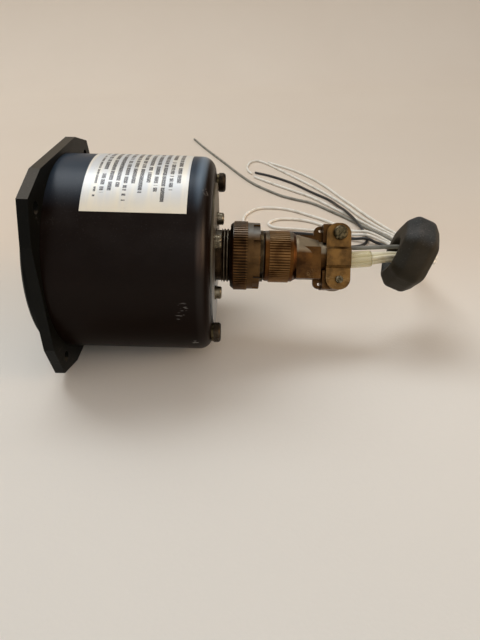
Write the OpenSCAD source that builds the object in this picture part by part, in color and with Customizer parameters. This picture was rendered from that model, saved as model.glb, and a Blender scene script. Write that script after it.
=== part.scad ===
/* [Mounting flange] */
// Distance across the long flats of the flange
flange_af = 83; // [82:0.5:85]
// Distance across two opposite corners of the flange
flange_corner = 102.6; // [101:0.2:104]
// Length of each long flat
flange_flat = 42.4; // [40:0.4:44]
// Thickness of the flange
flange_t = 3.9; // [3:0.1:5]
// Circle on which the four panel holes lie
bolt_circle = 88.9; // [88:0.1:90]
// Diameter of a panel hole
bolt_hole_d = 4.4; // [3.6:0.1:4.8]
// Diameter of the lip that enters the panel cut-out
lip_d = 79; // [77.6:0.2:79.4]
// Height of the lip in front of the flange
lip_h = 3.4; // [3:0.1:4]
// Depth of the rebate in the flange's back that the case can stands in
case_rebate = 0.5; // [0.3:0.1:0.8]

/* [Case] */
// Outer diameter of the case can
case_d = 78.8; // [78:0.2:80]
// Length of the case can behind the flange
case_len = 58.3; // [56:0.1:66]
// Wall of the case can
case_wall = 1.2; // [0.8:0.1:1.5]
// Radius of the rear corner of the can
case_round = 5; // [4:0.1:6]
// Diameter of the bare plate on the rear face
rear_plate_d = 59; // [50:0.5:59]
// Thickness of the bare rear plate
rear_plate_t = 0.7; // [0.5:0.1:1.2]
// Thickness of the foil label
label_t = 0.15; // [0.1:0.05:0.3]
// Width of the foil label along the case
label_w = 37.3; // [30:0.1:38]

/* [Front] */
// Thickness of the front panel
panel_t = 1.6; // [1.2:0.1:2]
// Width of the display window
window_w = 50; // [50:0.5:51]
// Height of the display window
window_h = 19; // [17.4:0.2:20]
// Height of the window above the axis
window_up = 3; // [2:0.5:4]
// Distance between two neighbouring digits
digit_pitch = 12.4; // [12.2:0.1:12.6]
// Height of the button row below the axis
button_down = 18; // [17:0.5:19]
// Distance between two neighbouring buttons
button_pitch = 13; // [12:0.5:14]
// Diameter of a button cap
button_d = 6.8; // [6:0.2:7]
// Travel of a button
button_travel = 1.2; // [0.8:0.1:1.5]

/* [Boards] */
// Thickness of both circuit boards
board_t = 1.6; // [1.2:0.1:2]
// Depth of the display modules and height of the front spacers' rear part
digit_depth = 8; // [7:0.5:9]
// Distance between the two circuit boards
board_gap = 17; // [15:0.5:19]
// Distance of the spacers and posts from the axis
post_r = 33; // [32:0.1:33.1]

/* [Receptacle] */
// Side of the square receptacle flange
recept_side = 30.2; // [29.6:0.2:31]
// Thickness of the receptacle flange
recept_flange_t = 1.5; // [1.2:0.1:2]
// Distance between two neighbouring flange screws
recept_pitch = 23; // [22.6:0.1:23.4]
// Major diameter of the coupling thread
thread_d = 22.22; // [22:0.02:22.3]
// Pitch of the coupling thread
thread_pitch = 1.27; // [1:0.01:1.5]
// Length of the smooth barrel between the flange and the thread
smooth_len = 4.2; // [3.6:0.1:5]
// Height of the insert's face above the receptacle flange
insert_rise = 5.8; // [5.4:0.1:6]
// Diameter of the circle of five contacts
contact_circle = 9.6; // [9:0.1:10]
// Diameter of a contact pin
pin_d = 1.58; // [1.4:0.02:1.6]

/* [Plug] */
// Distance from the case to the front of the coupling ring
ring_gap = 6.7; // [6.4:0.1:7.4]
// Outer diameter of the coupling ring
ring_d = 28.6; // [28:0.1:29]
// Length of the coupling ring
ring_len = 12.1; // [11.8:0.1:13]
// Number of flutes round the coupling ring
ring_flutes = 75; // [60:1:80]
// Number of tabs on the rear rim of the coupling ring
ring_tabs = 9; // [6:1:10]
// Running clearance between the ring and the thread
ring_clear = 0.09; // [0.05:0.01:0.1]
// Outer diameter of the fluted end bell
bell_d = 21.6; // [21.2:0.1:22.4]
// Length of the fluted end bell
bell_len = 13.1; // [13:0.1:14]
// Number of flutes round the end bell
bell_flutes = 60; // [48:1:64]

/* [Cable clamp] */
// Angle by which the clamp is rolled about the axis
clamp_roll = 33.5; // [0:0.5:60]
// Distance between the two clamp screws
clamp_pitch = 19; // [18.6:0.1:19.4]
// Thickness of the two clamp arms
arm_t = 9.6; // [9.2:0.1:10]
// Width of a saddle bar along the cable
saddle_w = 10; // [9:0.1:10.4]
// Length of a saddle bar
saddle_len = 27.2; // [26.4:0.2:28]
// Thickness of a saddle bar
saddle_t = 2.2; // [1.8:0.1:2.6]
// Diameter of a clamp screw
clamp_screw_d = 3; // [2.6:0.1:3.2]

/* [Harness] */
// Diameter of the clear sleeve in the clamp
sleeve_d = 7; // [6.6:0.1:7]
// Diameter of a lead
lead_d = 1.8; // [1.2:0.05:1.8]
// Size of the rubber lump across its corners
grommet_d = 33; // [30:0.5:34]
// Thickness of the rubber lump
grommet_t = 15; // [12:0.5:15]

/* [Hidden] */
$fn = 96;

// Places along the axis: the back of the flange is 0, the front is negative
lip_x = -flange_t - lip_h;
lip_chamfer = 0.8;
panel_x = lip_x + 1.1;
seat_x = panel_x + panel_t;
seat_t = 2;
window_flange_t = 1;
gasket_t = 1;
board_x = seat_x + window_flange_t + gasket_t + digit_depth;
board_back = board_x + board_t;
main_x = board_back + board_gap;
main_back = main_x + board_t;
can_inside = case_len - case_wall;
plate_back = case_len + rear_plate_t;
recept_x = can_inside - recept_flange_t;
insert_face = can_inside + insert_rise;
ring_x = case_len + ring_gap;
ring_end = ring_x + ring_len;
bell_x = ring_end + 1.7;
bell_end = bell_x + bell_len;

// Radii in the front of the case
fit = 0.1;
can_in_r = case_d / 2 - case_wall;
spigot_r = can_in_r - fit;
spigot_wall = 1.4;
spigot_in_r = spigot_r - spigot_wall;
spigot_len = 6;
seat_in_r = spigot_in_r - 1.2;
panel_r = spigot_in_r - 0.2;
display_board_r = spigot_in_r - 0.8;
main_board_r = can_in_r - 1.7;
diagonals = [45 : 90 : 315];

// Frame that looks along the axis: x is across, y is up and z is to the rear
module facing(x = 0) {
  translate([x, 0, 0]) rotate([90, 0, 90]) children();
}

// Puts its children on the four diagonals at radius r
module on_diagonals(r, angles = diagonals) {
  for (a = angles) rotate(a) translate([r, 0, 0]) children();
}

// Frame of the rolled clamp: x is away from the viewer's side, y along the bars
module on_clamp(x = 0) {
  facing(x) rotate(-clamp_roll) children();
}

// Rectangle w by h whose corners are arcs of radius r
module round_rect(w, h, r) {
  square([w - 2 * r, h], center = true);
  square([w, h - 2 * r], center = true);
  for (x = [-1, 1], y = [-1, 1])
    translate([x * (w / 2 - r), y * (h / 2 - r)]) circle(r = r, $fn = 32);
}

module tube(outer, inner, h) {
  difference() {
    cylinder(h = h, r = outer);
    translate([0, 0, -1]) cylinder(h = h + 2, r = inner);
  }
}

// Cutter for a driver's slot, w wide and deep, in a head of radius r and height h
module slot(r, h, w, deep) {
  translate([-r - 1, -w / 2, h - deep]) cube([2 * r + 2, w, deep + 1]);
}

module hexagon(af) {
  rotate(30) circle(r = af / 2 / cos(30), $fn = 6);
}

// Points of an arc about c from angle a to angle b
function arc(c, r, a, b, n = 12) =
  [for (i = [0 : n]) c + r * [cos(a + (b - a) * i / n), sin(a + (b - a) * i / n)]];

// Outline of n shallow grooves round a circle of radius r
function fluted(n, r, depth, share = 0.55) = [
  for (k = [0 : n - 1])
    for (p = [[0, 0], [share, 0], [share + 0.12, 1], [0.88, 1]])
      let (a = 360 * (k + p[0]) / n, q = r - depth * p[1]) q * [cos(a), sin(a)]
];

// Profile of V grooves cut into a thread from z0 to z1: crest radius to root radius
function thread_edge(z0, z1, crest, root, pitch) = [
  for (z = [z0 : pitch : z1 - pitch])
    each [[crest, z + 0.1 * pitch], [root, z + 0.5 * pitch], [crest, z + 0.9 * pitch]]
];

/* Bezel, panel and display */

function flange_outline() = [
  for (k = [0 : 3])
    for (p = [
      [flange_af / 2, -flange_flat / 2],
      [flange_af / 2, flange_flat / 2],
      flange_corner / 2 * [cos(45), sin(45)]
    ])
      [p[0] * cos(90 * k) - p[1] * sin(90 * k), p[0] * sin(90 * k) + p[1] * cos(90 * k)]
];

module bezel() {
  bore = spigot_in_r;
  color([0.1, 0.1, 0.11]) facing() difference() {
    union() {
      translate([0, 0, -flange_t]) linear_extrude(flange_t) polygon(flange_outline());
      rotate_extrude($fn = 160) polygon([
        [0, lip_x], [lip_d / 2 - lip_chamfer, lip_x], [lip_d / 2, lip_x + lip_chamfer],
        [lip_d / 2, -flange_t / 2], [spigot_r, -flange_t / 2], [spigot_r, spigot_len - 0.6],
        [spigot_r - 0.6, spigot_len], [0, spigot_len]
      ]);
    }
    rotate_extrude($fn = 160) polygon([
      [0, lip_x - 1], [bore + 1.6, lip_x - 1], [bore, lip_x + 0.6], [bore, seat_x],
      [seat_in_r, seat_x], [seat_in_r, seat_x + seat_t], [bore, seat_x + seat_t],
      [bore, spigot_len + 1], [0, spigot_len + 1]
    ]);
    on_diagonals(bolt_circle / 2)
      translate([0, 0, -flange_t - 1]) cylinder(h = flange_t + 2, d = bolt_hole_d, $fn = 48);
    translate([0, 0, -case_rebate])
      tube(case_d / 2 + fit, spigot_r, case_rebate + 1, $fn = 160);
  }
}

led_r = 1.5;
led_up = 20;
led_pitch = 14;
led_tip = panel_x - 0.7;
led_len = 5.3;
button_x = panel_x - 2.4;
button_clear = 0.1;
button_flange_x = seat_x + button_clear;
button_flange_t = 0.9;
stem_r = 1.4;
stem_clear = 0.1;
switch_h = 5;
panel_screw_r = 1.45;

module at_buttons() {
  for (k = [-1 : 1]) translate([k * button_pitch, -button_down, 0]) children();
}

module at_leds() {
  for (k = [-1 : 1]) translate([k * led_pitch, led_up, 0]) children();
}

module front_panel() {
  color([0.07, 0.07, 0.08]) facing(panel_x) difference() {
    cylinder(h = panel_t, r = panel_r, $fn = 160);
    translate([0, window_up, -1]) linear_extrude(panel_t + 2) round_rect(window_w, window_h, 1.5);
    at_leds() translate([0, 0, -1]) cylinder(h = panel_t + 2, r = led_r + fit, $fn = 32);
    at_buttons()
      translate([0, 0, -1]) cylinder(h = panel_t + 2, d = button_d + 2 * button_clear, $fn = 64);
    on_diagonals(post_r) {
      translate([0, 0, -1]) cylinder(h = panel_t + 2, r = panel_screw_r + fit, $fn = 32);
      cylinder(h = 1, r1 = screw_head_r, r2 = panel_screw_r, $fn = 32);
    }
  }
}

window_lip = 2;

module display_window() {
  color([0.25, 0.05, 0.06, 0.7]) facing(panel_x + 0.1) {
    translate([0, window_up, 0])
      linear_extrude(panel_t - 0.1) round_rect(window_w - 2 * fit, window_h - 2 * fit, 1.4);
    translate([0, window_up, panel_t - 0.1])
      linear_extrude(window_flange_t)
        round_rect(window_w + 2 * window_lip, window_h + 2 * window_lip, 1);
  }
}

module display_gasket() {
  color([0.05, 0.05, 0.05]) facing(seat_x + window_flange_t) translate([0, window_up, 0])
    linear_extrude(gasket_t) difference() {
      round_rect(window_w + 2 * window_lip, window_h + 2 * window_lip, 1);
      round_rect(window_w - 1, window_h - 1, 1);
    }
}

digit_w = digit_pitch - 0.2;
digit_x = board_x - digit_depth;
segment_deep = 0.5;
segment_w = 1.5;
segment_half = 3.4;
segment_rise = 6.2;
digit_slant = 8;

// Pointed bar from a to b, as the segments of such digits are
function bar(a, b, t, gap = 0.25) =
  let (u = (b - a) / norm(b - a), v = [-u[1], u[0]], g = gap, s = gap + t / 2) [
    a + g * u, a + s * u + t / 2 * v, b - s * u + t / 2 * v,
    b - g * u, b - s * u - t / 2 * v, a + s * u - t / 2 * v
  ];

function slanted(points) = [for (p = points) [p[0] - p[1] * tan(digit_slant), p[1]]];

module segments() {
  w = segment_half;
  h = segment_rise;
  ends = [
    [[-w, h], [w, h]], [[-w, 0], [w, 0]], [[-w, -h], [w, -h]],
    [[-w, 0], [-w, h]], [[w, 0], [w, h]], [[-w, -h], [-w, 0]], [[w, -h], [w, 0]]
  ];
  for (e = ends) linear_extrude(segment_deep) polygon(slanted(bar(e[0], e[1], segment_w)));
  translate([-w - 1.4, -h - 0.2, 0]) cylinder(h = segment_deep, r = 0.8, $fn = 24);
}

module at_digits() {
  for (k = [0 : 3]) translate([digit_pitch * (1.5 - k), window_up, 0]) children();
}

module display_digits() {
  color([0.16, 0.16, 0.17]) facing(digit_x) at_digits() difference() {
    translate([-digit_w / 2, -window_h / 2 + 0.3, 0]) cube([digit_w, window_h - 0.6, digit_depth]);
    segments();
  }
}

module digit_segments() {
  color([0.55, 0.2, 0.18]) facing(digit_x) at_digits() segments();
}

module status_leds() {
  color([0.75, 0.72, 0.6]) facing(led_tip) at_leds() rotate_extrude($fn = 32)
    polygon(concat(arc([0, led_r], led_r, 270, 360, 8), [
      [led_r, led_len - 0.8], [led_r + 0.4, led_len - 0.8], [led_r + 0.4, led_len], [0, led_len]
    ]));
}

module led_spacers() {
  x = led_tip + led_len;
  color([0.9, 0.9, 0.86]) facing(x) at_leds() tube(led_r + 0.4, 0.9, board_x - x, $fn = 32);
}

module button(k) {
  r = button_d / 2;
  stem_end = board_x - switch_h + 1.2;
  color([0.12, 0.12, 0.13]) facing() translate([k * button_pitch, -button_down, 0])
    rotate_extrude($fn = 64) polygon([
      [0, button_x + 0.25], [r - 1.2, button_x], [r - 0.4, button_x], [r, button_x + 0.4],
      [r, button_flange_x], [r + 1, button_flange_x], [r + 1, button_flange_x + button_flange_t],
      [stem_r, button_flange_x + button_flange_t], [stem_r, stem_end], [0, stem_end]
    ]);
}

module button_left() {
  button(1);
}

module button_centre() {
  button(0);
}

module button_right() {
  button(-1);
}

module button_switches() {
  side = 6.2;
  color([0.2, 0.2, 0.22]) facing(board_x - switch_h) at_buttons() difference() {
    translate([-side / 2, -side / 2, 0]) cube([side, side, switch_h]);
    translate([0, 0, -1])
      cylinder(h = 1 + 1.2 + 0.5 + button_travel, r = stem_r + stem_clear, $fn = 32);
    for (s = [-1, 1])
      translate([s * side / 2, 0, switch_h / 2]) cube([1, 2, switch_h - 1.6], center = true);
  }
}

screw_head_r = 2.45;

module panel_screws() {
  color([0.2, 0.2, 0.2]) facing(panel_x) on_diagonals(post_r) difference() {
    union() {
      cylinder(h = 1, r1 = screw_head_r, r2 = panel_screw_r, $fn = 32);
      translate([0, 0, 0.5]) cylinder(h = 5, r = panel_screw_r, $fn = 32);
    }
    translate([-3, -0.3, -0.5]) cube([6, 0.6, 1]);
  }
}

/* Boards, spacers and what they carry */

spacer_af = 4.5;
stud_r = 1.45;
stud_len = 5.6;

module stud() {
  translate([0, 0, -stud_len]) cylinder(h = stud_len, r = stud_r, $fn = 32);
}

module front_spacers() {
  h = board_x - seat_x;
  color([0.75, 0.68, 0.4]) facing(seat_x) on_diagonals(post_r) difference() {
    linear_extrude(h) hexagon(spacer_af);
    translate([0, 0, -1]) cylinder(h = h + 2, r = stud_r + 0.05, $fn = 32);
  }
}

// Round board with holes for the studs
module board(r) {
  difference() {
    cylinder(h = board_t, r = r, $fn = 128);
    on_diagonals(post_r) translate([0, 0, -1]) cylinder(h = board_t + 2, r = stud_r + fit, $fn = 32);
    translate([-2, r - 1.5, -1]) cube([4, 3, board_t + 2]);
  }
}

module display_board() {
  color([0.1, 0.35, 0.16]) facing(board_x) board(display_board_r);
}

header_pins = 10;
header_pitch = 2.54;
header_down = -26.5;
header_wide = 5;
header_tall = 8.5;
socket_wall = 0.5;
socket_end_wall = 1;
socket_slot = 3;

module board_connector() {
  w = header_pins * header_pitch;
  socket_w = header_wide + 2 * socket_wall;
  socket_len = w + 2 * socket_end_wall;
  color([0.15, 0.15, 0.15]) facing(board_back) translate([0, header_down, 0]) {
    translate([-w / 2, -header_wide / 2, 0]) cube([w, header_wide, header_tall]);
    difference() {
      translate([-socket_len / 2, -socket_w / 2, header_tall])
        cube([socket_len, socket_w, board_gap - header_tall]);
      for (s = [-1, 1])
        translate([s * socket_len / 2, 0, board_gap])
          cube([socket_end_wall, socket_slot, 4 * socket_slot], center = true);
    }
  }
}

module middle_spacers() {
  color([0.75, 0.68, 0.4]) facing(board_back) on_diagonals(post_r) {
    difference() {
      linear_extrude(board_gap) hexagon(spacer_af);
      translate([0, 0, board_gap - 7]) cylinder(h = 8, r = stud_r + 0.05, $fn = 32);
    }
    stud();
  }
}

module main_board() {
  color([0.1, 0.35, 0.16]) facing(main_x) board(main_board_r);
}

board_head_r = 2.6;
board_head_h = 1.8;
board_slot = 0.7;

module board_screws() {
  color([0.7, 0.7, 0.7]) facing(main_back) on_diagonals(post_r, [135, 315]) {
    difference() {
      cylinder(h = board_head_h, r = board_head_r, $fn = 32);
      slot(board_head_r, board_head_h, board_slot, board_head_h / 2);
    }
    stud();
  }
}

case_screw_r = 2;
case_screw_len = 12.5;
post_af = 5.6;
post_bore_len = 14;
post_end_r = 2.6;
post_end_len = 1;

module case_posts() {
  h = can_inside - main_back;
  color([0.75, 0.68, 0.4]) facing(main_back) on_diagonals(post_r, [45, 225]) {
    difference() {
      union() {
        linear_extrude(h - post_end_len) hexagon(post_af);
        cylinder(h = h, r = post_end_r, $fn = 32);
      }
      translate([0, 0, h - post_bore_len])
        cylinder(h = post_bore_len + 1, r = case_screw_r + 0.05, $fn = 32);
    }
    stud();
  }
}

chip_up = 15;
chip_len = 36;
chip_wide = 13;
chip_tall = 3.6;
chip_lift = 0.6;
chip_mark_r = 1.4;
chip_leg_w = 0.6;
chip_leg_t = 0.7;

module microcontroller() {
  leg_y = chip_wide / 2 + chip_leg_t / 2 + 0.05;
  color([0.1, 0.1, 0.1]) facing(main_back) translate([0, chip_up, 0]) {
    difference() {
      translate([-chip_len / 2, -chip_wide / 2, chip_lift]) cube([chip_len, chip_wide, chip_tall]);
      translate([-chip_len / 2, 0, chip_tall]) cylinder(h = chip_tall, r = chip_mark_r, $fn = 24);
    }
    for (k = [0 : 13], s = [-1, 1])
      translate([(k - 6.5) * header_pitch - chip_leg_w / 2, s * leg_y - chip_leg_t / 2, 0])
        cube([chip_leg_w, chip_leg_t, chip_lift + chip_tall / 2]);
  }
}

module voltage_regulator() {
  color([0.55, 0.55, 0.57]) facing(main_back) translate([-16, -14, 0]) {
    translate([-5, -1.6, 3]) cube([10, 4.4, 9]);
    difference() {
      translate([-5, -2.9, 3]) cube([10, 1.3, 15.5]);
      translate([0, 0, 15.4]) rotate([90, 0, 0]) cylinder(h = 8, r = 1.8, center = true, $fn = 32);
    }
    for (k = [-1 : 1]) translate([k * 2.54 - 0.4, 0, 0]) cube([0.8, 0.6, 3]);
  }
}

// Electrolytic can with its crimped groove near the board
module capacitor(r, h) {
  rotate_extrude($fn = 48) polygon([
    [0, 0], [r, 0], [r, 1.4], [r - 0.4, 1.8], [r - 0.4, 2.2], [r, 2.6],
    [r, h - 0.5], [r - 0.5, h], [0, h]
  ]);
}

module capacitors() {
  color([0.15, 0.2, 0.4]) facing(main_back) {
    translate([3, -17, 0]) capacitor(5, 16);
    translate([15.5, -14, 0]) capacitor(4, 12);
  }
}

module crystal() {
  color([0.8, 0.8, 0.82]) facing(main_back) translate([-21, 1.5, 0]) {
    linear_extrude(0.6) round_rect(11.4, 5, 2.4);
    translate([0, 0, 0.6]) linear_extrude(11) round_rect(10.4, 4.2, 2);
  }
}

lead_in = [11, 0];
lead_in_h = 8;
lead_in_pitch = 2.54;

module input_header() {
  w = 6 * lead_in_pitch + 2;
  color([0.92, 0.9, 0.82]) facing(main_back) translate([lead_in[0], lead_in[1], 0])
    translate([-w / 2, -3, 0]) cube([w, 6, lead_in_h]);
}

/* Routes and round tubes swept along them */

function unit(v) = v / norm(v);

function spline(a, b, c, d, t) =
  (2 * b + (c - a) * t + (2 * a - 5 * b + 4 * c - d) * t * t
    + (3 * b - a - 3 * c + d) * t * t * t) / 2;

// Smooth curve through the points p with n steps between two of them
function curve(p, n) = [
  for (i = [0 : len(p) - 2], j = [0 : n - 1])
    spline(p[max(i - 1, 0)], p[i], p[i + 1], p[min(i + 2, len(p) - 1)], j / n),
  p[len(p) - 1]
];

function heading(p, i) = unit(p[min(i + 1, len(p) - 1)] - p[max(i - 1, 0)]);
function right_of(p, i) = unit(cross(heading(p, i), [0, 0, 1]));
function above(p, i) = cross(right_of(p, i), heading(p, i));

// One closed tube of triangles round the line p, of radius r[i] at point i
module sweep(p, r, sides) {
  rings = len(p);
  points = [
    for (i = [0 : rings - 1])
      let (s = right_of(p, i), u = above(p, i), q = is_list(r) ? r[i] : r)
        for (k = [0 : sides - 1])
          let (a = 360 * k / sides) p[i] + q * (cos(a) * s + sin(a) * u)
  ];
  skin = [
    for (i = [0 : rings - 2], k = [0 : sides - 1])
      let (a = i * sides + k, b = i * sides + (k + 1) % sides, c = b + sides, d = a + sides)
        each [[a, b, c], [a, c, d]]
  ];
  last = (rings - 1) * sides;
  caps = [for (k = [1 : sides - 2]) each [[0, k + 1, k], [last, last + k, last + k + 1]]];
  polyhedron(points, concat(skin, caps));
}

// Places of the six contacts: five on a circle and one in the middle
function contact(k) = k == 5 ? [0, 0]
  : contact_circle / 2 * [cos(90 + 72 * k), sin(90 + 72 * k)];

module at_contacts() {
  for (k = [0 : 5]) translate(contact(k)) children();
}

// Six places in a tight bundle: the top place belongs to the grey lead
lead_gap = 0.2;
bundle_step = lead_d + lead_gap;
function bundle_place(a) = bundle_step * [cos(a), sin(a)];
sleeve_end_places = [
  bundle_place(-30), bundle_place(30), bundle_place(-90),
  [0, 0], bundle_place(150), bundle_place(210)
];

cup_x = can_inside - 9.6;
inner_lead_r = 0.6;

// Lead that leaves a at right angles to the boards and enters b in the same way
module inner_lead(a, b) {
  step = [2, 0, 0];
  sweep(curve([a, a + step, a + 2 * step, b - 2 * step, b - step, b], 2), inner_lead_r, 8);
}

module inner_leads() {
  start = main_back + lead_in_h;
  across = [1, 2, 5, 0, 3, 4];
  color([0.8, 0.78, 0.7]) for (k = [0 : 5]) {
    c = contact(across[k]);
    inner_lead([start, lead_in[0] + (k - 2.5) * lead_in_pitch, lead_in[1]],
      [cup_x, c[0], c[1]]);
  }
}

/* Case can, rear plate and receptacle */

module case_can() {
  r = case_d / 2;
  q = case_round;
  w = case_wall;
  color([0.09, 0.09, 0.1]) facing() difference() {
    rotate_extrude($fn = 160) polygon(concat(
      [[r, -case_rebate]], arc([r - q, case_len - q], q, 0, 90, 16),
      [[barrel_hole_r, case_len], [barrel_hole_r, can_inside]],
      arc([r - q, case_len - q], q - w, 90, 0, 16), [[r - w, -case_rebate]]
    ));
    on_diagonals(post_r, [45, 225])
      translate([0, 0, can_inside - 1]) cylinder(h = w + 2, r = case_screw_r + 0.1, $fn = 32);
    on_diagonals(recept_pitch / sqrt(2))
      translate([0, 0, can_inside - 1]) cylinder(h = w + 2, r = small_screw_r + 0.1, $fn = 32);
  }
}

label_x = 12.8;
label_near = 43;
label_far = 47;
label_lift = 0.02;

module label_foil() {
  r = case_d / 2 + label_lift;
  wedge = [for (a = [90 - label_far : 9 : 90 + label_near]) 2 * r * [cos(a), sin(a)]];
  color([0.85, 0.83, 0.76]) facing(label_x) intersection() {
    tube(r + label_t, r, label_w, $fn = 160);
    linear_extrude(label_w) polygon(concat([[0, 0]], wedge));
  }
}

recept_rear_r = 10.3;
recept_corner = 3.6;
small_screw_r = 1.4;
insert_clear = 0.1;
barrel_wall = 1.6;
barrel_r = thread_d / 2;
barrel_in_r = barrel_r - barrel_wall;
barrel_hole_r = barrel_r + 0.3;
smooth_barrel_r = barrel_r - 0.6;

module rear_plate() {
  through = rear_plate_t + 2;
  color([0.72, 0.71, 0.68]) facing(case_len) difference() {
    cylinder(h = rear_plate_t, d = rear_plate_d, $fn = 128);
    translate([0, 0, -1]) cylinder(h = through, r = barrel_hole_r);
    on_diagonals(recept_pitch / sqrt(2))
      translate([0, 0, -1]) cylinder(h = through, r = small_screw_r + 0.1, $fn = 32);
    on_diagonals(post_r, [45, 225])
      translate([0, 0, -1]) cylinder(h = through, r = case_head_r + case_head_clear, $fn = 48);
  }
}

case_head_r = 4.05;
case_head_clear = 0.3;
case_washer_r = 3.7;
case_washer_t = 0.9;
case_head_h = 2.8;
case_slot = 1.2;
case_slot_deep = 1.3;

module case_screws() {
  base = case_len + case_washer_t;
  color([0.13, 0.12, 0.11]) facing(base) on_diagonals(post_r, [45, 225]) {
    difference() {
      rotate_extrude($fn = 48) polygon(concat(
        [[0, 0], [case_head_r, 0]],
        arc([case_head_r - 1.2, case_head_h - 1.2], 1.2, 0, 90, 6), [[0, case_head_h]]
      ));
      rotate(30) slot(case_head_r, case_head_h, case_slot, case_slot_deep);
    }
    translate([0, 0, -case_screw_len])
      cylinder(h = case_screw_len + 0.1, r = case_screw_r, $fn = 32);
  }
}

module case_washers() {
  color([0.2, 0.18, 0.15]) facing(case_len) on_diagonals(post_r, [45, 225]) difference() {
    tube(case_washer_r, case_screw_r + 0.15, case_washer_t, $fn = 48);
    translate([0, -0.25, -1]) cube([case_washer_r + 1, 0.5, case_washer_t + 2]);
  }
}

module receptacle_shell() {
  z0 = recept_flange_t + smooth_len;
  end = barrel_end - recept_x;
  root = barrel_r - 0.72;
  color([0.24, 0.23, 0.17]) facing(recept_x) difference() {
    union() {
      linear_extrude(recept_flange_t) round_rect(recept_side, recept_side, recept_corner);
      rotate_extrude($fn = 128) polygon(concat(
        [[0, -recept_rear_len], [recept_rear_r, -recept_rear_len], [recept_rear_r, 0.5]],
        [[smooth_barrel_r, 0.5], [smooth_barrel_r, z0]],
        thread_edge(z0, end - 0.6, barrel_r, root, thread_pitch),
        [[root, end - 0.4], [root - 0.3, end], [0, end]]
      ));
    }
    translate([0, 0, -recept_rear_len - 1])
      cylinder(h = recept_rear_len + end + 2, r = barrel_in_r);
    translate([-key_w / 2 - 0.15, barrel_in_r - 1, insert_face - recept_x])
      cube([key_w + 0.3, 1.7, end]);
    on_diagonals(recept_pitch / sqrt(2))
      translate([0, 0, -1]) cylinder(h = recept_flange_t + 2, r = small_screw_r + 0.1, $fn = 32);
  }
}

recept_rear_len = 5;
insert_x = recept_x - recept_rear_len;
pin_tip = insert_face + 8;
key_w = 2.2;

module receptacle_insert() {
  color([0.1, 0.2, 0.14]) facing(insert_x) difference() {
    cylinder(h = insert_face - insert_x, r = barrel_in_r - insert_clear);
    at_contacts() translate([0, 0, -1])
      cylinder(h = insert_face - insert_x + 2, r = pin_d / 2 + 0.06, $fn = 32);
  }
}

module contact_pins() {
  r = pin_d / 2;
  color([0.8, 0.68, 0.3]) facing() at_contacts() rotate_extrude($fn = 32) polygon([
    [0, cup_x], [1.2, cup_x], [1.2, insert_x], [r, insert_x],
    [r, pin_tip - 0.7], [r * 0.5, pin_tip], [0, pin_tip]
  ]);
}

small_head_r = 2.6;
small_head_h = 2.2;
small_washer_r = 2.9;
small_washer_t = 0.6;
small_nut_t = 2.4;
small_slot = 0.7;
small_slot_deep = 0.9;
small_screw_end = recept_x - small_nut_t - 0.6;

module receptacle_screws() {
  base = plate_back + small_washer_t;
  color([0.62, 0.6, 0.52]) facing(base) on_diagonals(recept_pitch / sqrt(2)) {
    difference() {
      rotate_extrude($fn = 40) polygon(concat(
        [[0, 0], [small_head_r, 0]],
        arc([small_head_r - 0.8, small_head_h - 0.8], 0.8, 0, 90, 5), [[0, small_head_h]]
      ));
      rotate(20) slot(small_head_r, small_head_h, small_slot, small_slot_deep);
    }
    translate([0, 0, small_screw_end - base])
      cylinder(h = base - small_screw_end + 0.1, r = small_screw_r, $fn = 32);
  }
}

module receptacle_washers() {
  color([0.62, 0.6, 0.52]) facing(plate_back) on_diagonals(recept_pitch / sqrt(2)) difference() {
    tube(small_washer_r, small_screw_r + 0.1, small_washer_t, $fn = 40);
    translate([0, -0.2, -1]) cube([small_washer_r + 1, 0.4, small_washer_t + 2]);
  }
}

module receptacle_nuts() {
  color([0.7, 0.7, 0.68]) facing(recept_x - small_nut_t) on_diagonals(recept_pitch / sqrt(2))
    difference() {
      linear_extrude(small_nut_t) hexagon(6.3);
      translate([0, 0, -1])
        cylinder(h = small_nut_t + 2, r = small_screw_r + 0.05, $fn = 32);
    }
}

/* Plug, coupling ring and end bell */

ring_bore_r = barrel_r + ring_clear;
neck_r = 9.8;
lip_len = 1.9;
shoulder_gap = 0.2;
shoulder_t = 1.4;
shoulder_x = ring_end - lip_len - shoulder_gap - shoulder_t;
barrel_end = shoulder_x - shoulder_gap;
flute_x = 1.4;
flute_len = 5.6;
band_len = 2.4;
ring_flute_deep = 0.45;
tab_share = 0.33;

module coupling_ring() {
  r = ring_d / 2;
  smooth_r = r - ring_flute_deep - 0.05;
  band_x = flute_x + flute_len;
  rim_x = band_x + band_len;
  rim_r = smooth_r - 0.7;
  slot_half = 180 * (1 - tab_share) / ring_tabs;
  color([0.36, 0.25, 0.13]) facing(ring_x) difference() {
    union() {
      rotate_extrude($fn = 128) polygon([
        [0, 0], [smooth_r - 0.9, 0], [smooth_r, 1.1], [smooth_r, ring_len - 0.3],
        [smooth_r - 0.3, ring_len], [0, ring_len]
      ]);
      translate([0, 0, flute_x]) linear_extrude(flute_len)
        polygon(fluted(ring_flutes, r, ring_flute_deep));
    }
    rotate_extrude($fn = 128) polygon([
      [0, -1], [ring_bore_r + 1.4, -1], [ring_bore_r, 0.8], [ring_bore_r, ring_len - lip_len],
      [neck_r + 0.3, ring_len - lip_len], [neck_r + 0.3, ring_len + 1], [0, ring_len + 1]
    ]);
    for (k = [0 : ring_tabs - 1]) rotate(360 * (k + 0.5) / ring_tabs)
      translate([0, 0, rim_x]) linear_extrude(ring_len) difference() {
        polygon([[0, 0], 2 * r * [cos(slot_half), -sin(slot_half)],
          2 * r * [cos(slot_half), sin(slot_half)]]);
        circle(r = rim_r, $fn = 128);
      }
  }
}

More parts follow.
